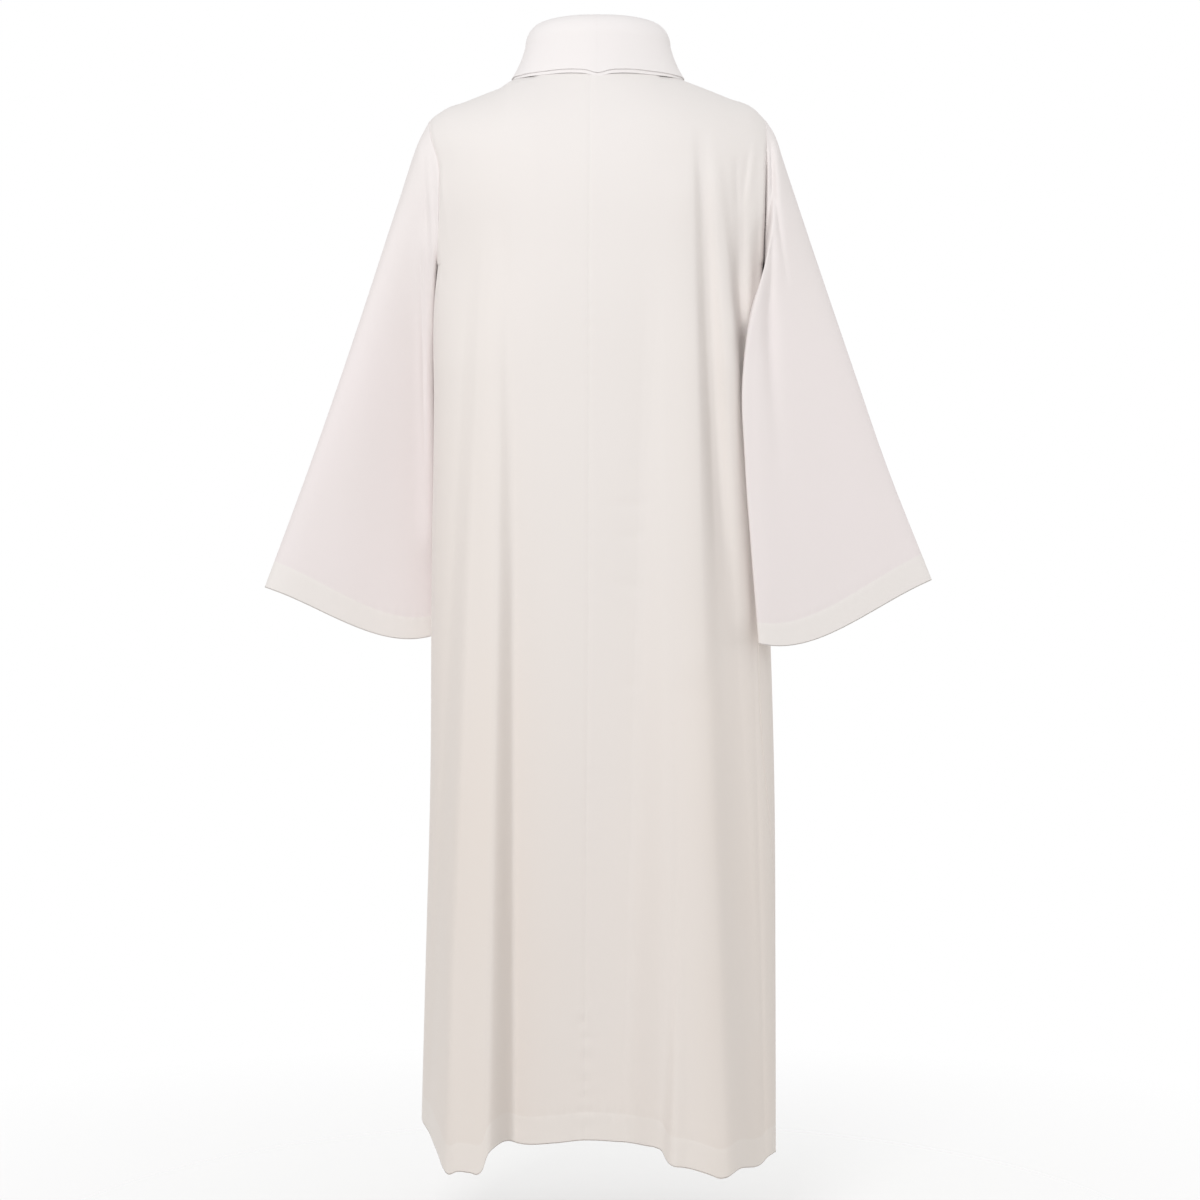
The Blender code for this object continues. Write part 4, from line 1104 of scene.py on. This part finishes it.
# A cut is made for both sides. flipped is the side whose grid runs the other way round, and size
# and area are those of the flat cloth.
Cut = namedtuple("Cut", "name piece stitches size area net closed flipped")
BACK = Cut("back", "back_panel_", "back_hem_stitches_", (0.36, 1.52), 0.50,
           Net(100, 270, 24), False, -1)
FRONT = Cut("front", "front_panel_", "front_hem_stitches_", (0.36, 1.50), 0.50,
            Net(80, 220, 18), False, 1)
SLEEVE = Cut("sleeve", "sleeve_tube_", "cuff_stitches_", (0.54, 0.74), 0.30,
             Net(190, 170, 24), True, 1)
COLLAR_SQUARES = (90, 72)
STRIP_SQUARES = (90, 12)


def settle(piece, name, word):
    """Ride a sheet on the robe, in place of its solid, which it hides."""
    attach(piece, "root")
    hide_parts(name + "_" + word)


def sew_pair(cut, cloth, material, shape):
    """Make both pieces of a cut from a function of the side, and settle each with its stitches.

    The hem's rows and the rows turned up inside it are marked as doubled.
    """
    thread = thread_material(cut.name + "_thread", tuple(cloth.thread_tint))
    for side, word in SIDES:
        flat = shape(side)
        flip = side == cut.flipped
        grid = turned_up(flat, cut.net.hem, cut.closed, flip)
        doubled = np.arange(len(grid)) >= len(flat) - cut.net.hem
        piece = cloth_object(
            cut.piece + word, grid, cloth.wall, material, cut.closed, flip, doubled)
        settle(piece, cut.name, word)
        hem = stitch_row(flat, cut.net.down, cloth.wall, cut.closed, flip)
        threads = stitches_object(cut.stitches + word, hem, thread)


class ALB_OT_backs(bpy.types.Operator):
    """Make the two backs, with their folds and hem"""

    bl_idname = "alb.backs"
    bl_label = "Backs"

    def execute(self, context):
        cloth = context.scene.alb_cloth
        material = cloth_material("back_cloth", cloth.body_tint, cloth, BODY_DENSE, BODY_PAINTED_SHADE)
        sew_pair(BACK, cloth, material,
                 lambda side: body_panel(side, True, BACK.net, cloth.body_hem))
        return {"FINISHED"}


class ALB_OT_fronts(bpy.types.Operator):
    """Make the two fronts, which meet at the centre front"""

    bl_idname = "alb.fronts"
    bl_label = "Fronts"

    def execute(self, context):
        cloth = context.scene.alb_cloth
        material = cloth_material("front_cloth", cloth.body_tint, cloth, BODY_DENSE, BODY_PAINTED_SHADE)
        sew_pair(FRONT, cloth, material,
                 lambda side: body_panel(side, False, FRONT.net, cloth.body_hem))
        return {"FINISHED"}


class ALB_OT_sleeves(bpy.types.Operator):
    """Make the two bell sleeves"""

    bl_idname = "alb.sleeves"
    bl_label = "Sleeves"

    def execute(self, context):
        cloth = context.scene.alb_cloth
        material = cloth_material(
            "sleeve_cloth", cloth.sleeve_tint, cloth, SLEEVE_DENSE, SLEEVE_SHADE)
        sew_pair(SLEEVE, cloth, material,
                 lambda side: sleeve_tube(side, SLEEVE.net, cloth.cuff_hem / SLEEVE_LENGTH))
        return {"FINISHED"}


class ALB_OT_collar(bpy.types.Operator):
    """Make the turned-down collar and the edge of the under collar"""

    bl_idname = "alb.collar"
    bl_label = "Collar"

    def execute(self, context):
        cloth = context.scene.alb_cloth
        material = cloth_material("collar_cloth", cloth.collar_tint, cloth, 0.0, COLLAR_SHADE)
        for side, word in SIDES:
            half = collar_half(side, *COLLAR_SQUARES)
            piece = cloth_object("collar_fold_" + word, half, cloth.wall, material, flip=side < 0)
            settle(piece, "collar", word)
            strip = under_collar_edge(side, *STRIP_SQUARES, cloth.wall)
            under = cloth_object(
                "under_collar_strip_" + word, strip, cloth.wall, material, flip=side < 0)
            settle(under, "under_collar", word)
        return {"FINISHED"}


class ALB_OT_stage(bpy.types.Operator):
    """Make the floor, the lights and the camera"""

    bl_idname = "alb.stage"
    bl_label = "Stage"

    def execute(self, context):
        stage = context.scene.alb_stage
        scene = context.scene
        bpy.ops.mesh.primitive_circle_add(
            vertices=128, radius=stage.floor_radius, fill_type="NGON")
        floor = context.object
        floor.name = "studio_floor"
        floor.data.transform(Matrix.Translation((0.0, 0.0, stage.floor_height)))
        floor.data.materials.append(
            floor_material("floor_paint", FLOOR_TINT, stage.floor_radius))

        air = Shader(bpy.data.worlds.new("studio_air"))
        scene.world = air.holder
        ray = air.node("ShaderNodeLightPath")
        seen = air.node("ShaderNodeBackground", inputs={"Color": WHITE})
        way = air.node("ShaderNodeSeparateXYZ", inputs={
            0: air.node("ShaderNodeTexCoord")["Generated"]})
        tone = air.mixed((way["Z"] * 0.5 + 0.5).clamped(), WARM, WHITE)
        strength = stage.ambient * (1.0 + stage.backing * (way["Y"] * -1.0).clamped())
        lit = air.node("ShaderNodeBackground", inputs={"Color": tone, "Strength": strength})
        both = air.node("ShaderNodeMixShader", inputs={
            0: ray["Is Camera Ray"], 1: lit["Background"], 2: seen["Background"]})
        air.node("ShaderNodeOutputWorld", inputs={"Surface": both["Shader"]})

        for lamp in LAMPS:
            self.area_light(lamp, stage.light_level)

        data = bpy.data.cameras.new("studio_camera")
        data.sensor_width = 36.0
        data.lens = data.sensor_width * stage.camera_distance / stage.camera_field
        camera = added("studio_camera", data)
        camera.location = (stage.camera_side, stage.camera_distance, stage.camera_height)
        camera.rotation_euler = (0.5 * np.pi, 0.0, np.pi)
        scene.camera = camera
        scene.view_settings.view_transform = "Standard"
        scene.view_settings.look = "None"
        return {"FINISHED"}

    def area_light(self, lamp, level):
        """A square soft light aimed at the middle of the robe."""
        data = bpy.data.lights.new(lamp.name, "AREA")
        data.size = lamp.size
        data.energy = lamp.power * level
        data.color = (lamp.red, lamp.green, lamp.blue)
        light = added(lamp.name, data)
        light.location = (lamp.x, lamp.y, lamp.z)
        aim = Vector(ROBE_MIDDLE) - light.location
        light.rotation_euler = aim.to_track_quat("-Z", "Y").to_euler()


class ALB_PT_panel(bpy.types.Panel):
    """Settings and steps of the alb"""

    bl_label = "Alb robe"
    bl_idname = "ALB_PT_panel"
    bl_space_type = "VIEW_3D"
    bl_region_type = "UI"
    bl_category = "Alb"

    def draw(self, context):
        layout = self.layout
        for group in (context.scene.alb_cloth, context.scene.alb_stage):
            box = layout.box()
            for name in group.__annotations__:
                box.prop(group, name)
        for step in STEPS:
            layout.operator(step.bl_idname)


STEPS = (ALB_OT_backs, ALB_OT_fronts, ALB_OT_sleeves, ALB_OT_collar, ALB_OT_stage)
CLASSES = (AlbClothSettings, AlbStageSettings, *STEPS, ALB_PT_panel)


def register():
    """Add the settings, steps and panel to Blender."""
    for item in CLASSES:
        bpy.utils.register_class(item)
    bpy.types.Scene.alb_cloth = bpy.props.PointerProperty(type=AlbClothSettings)
    bpy.types.Scene.alb_stage = bpy.props.PointerProperty(type=AlbStageSettings)


def unregister():
    """Take them away again."""
    del bpy.types.Scene.alb_stage
    del bpy.types.Scene.alb_cloth
    for item in reversed(CLASSES):
        bpy.utils.unregister_class(item)


def main():
    """Make every piece in order."""
    register()
    for step in STEPS:
        group, name = step.bl_idname.split(".")
        getattr(getattr(bpy.ops, group), name)()


if __name__ == "__main__":
    main()
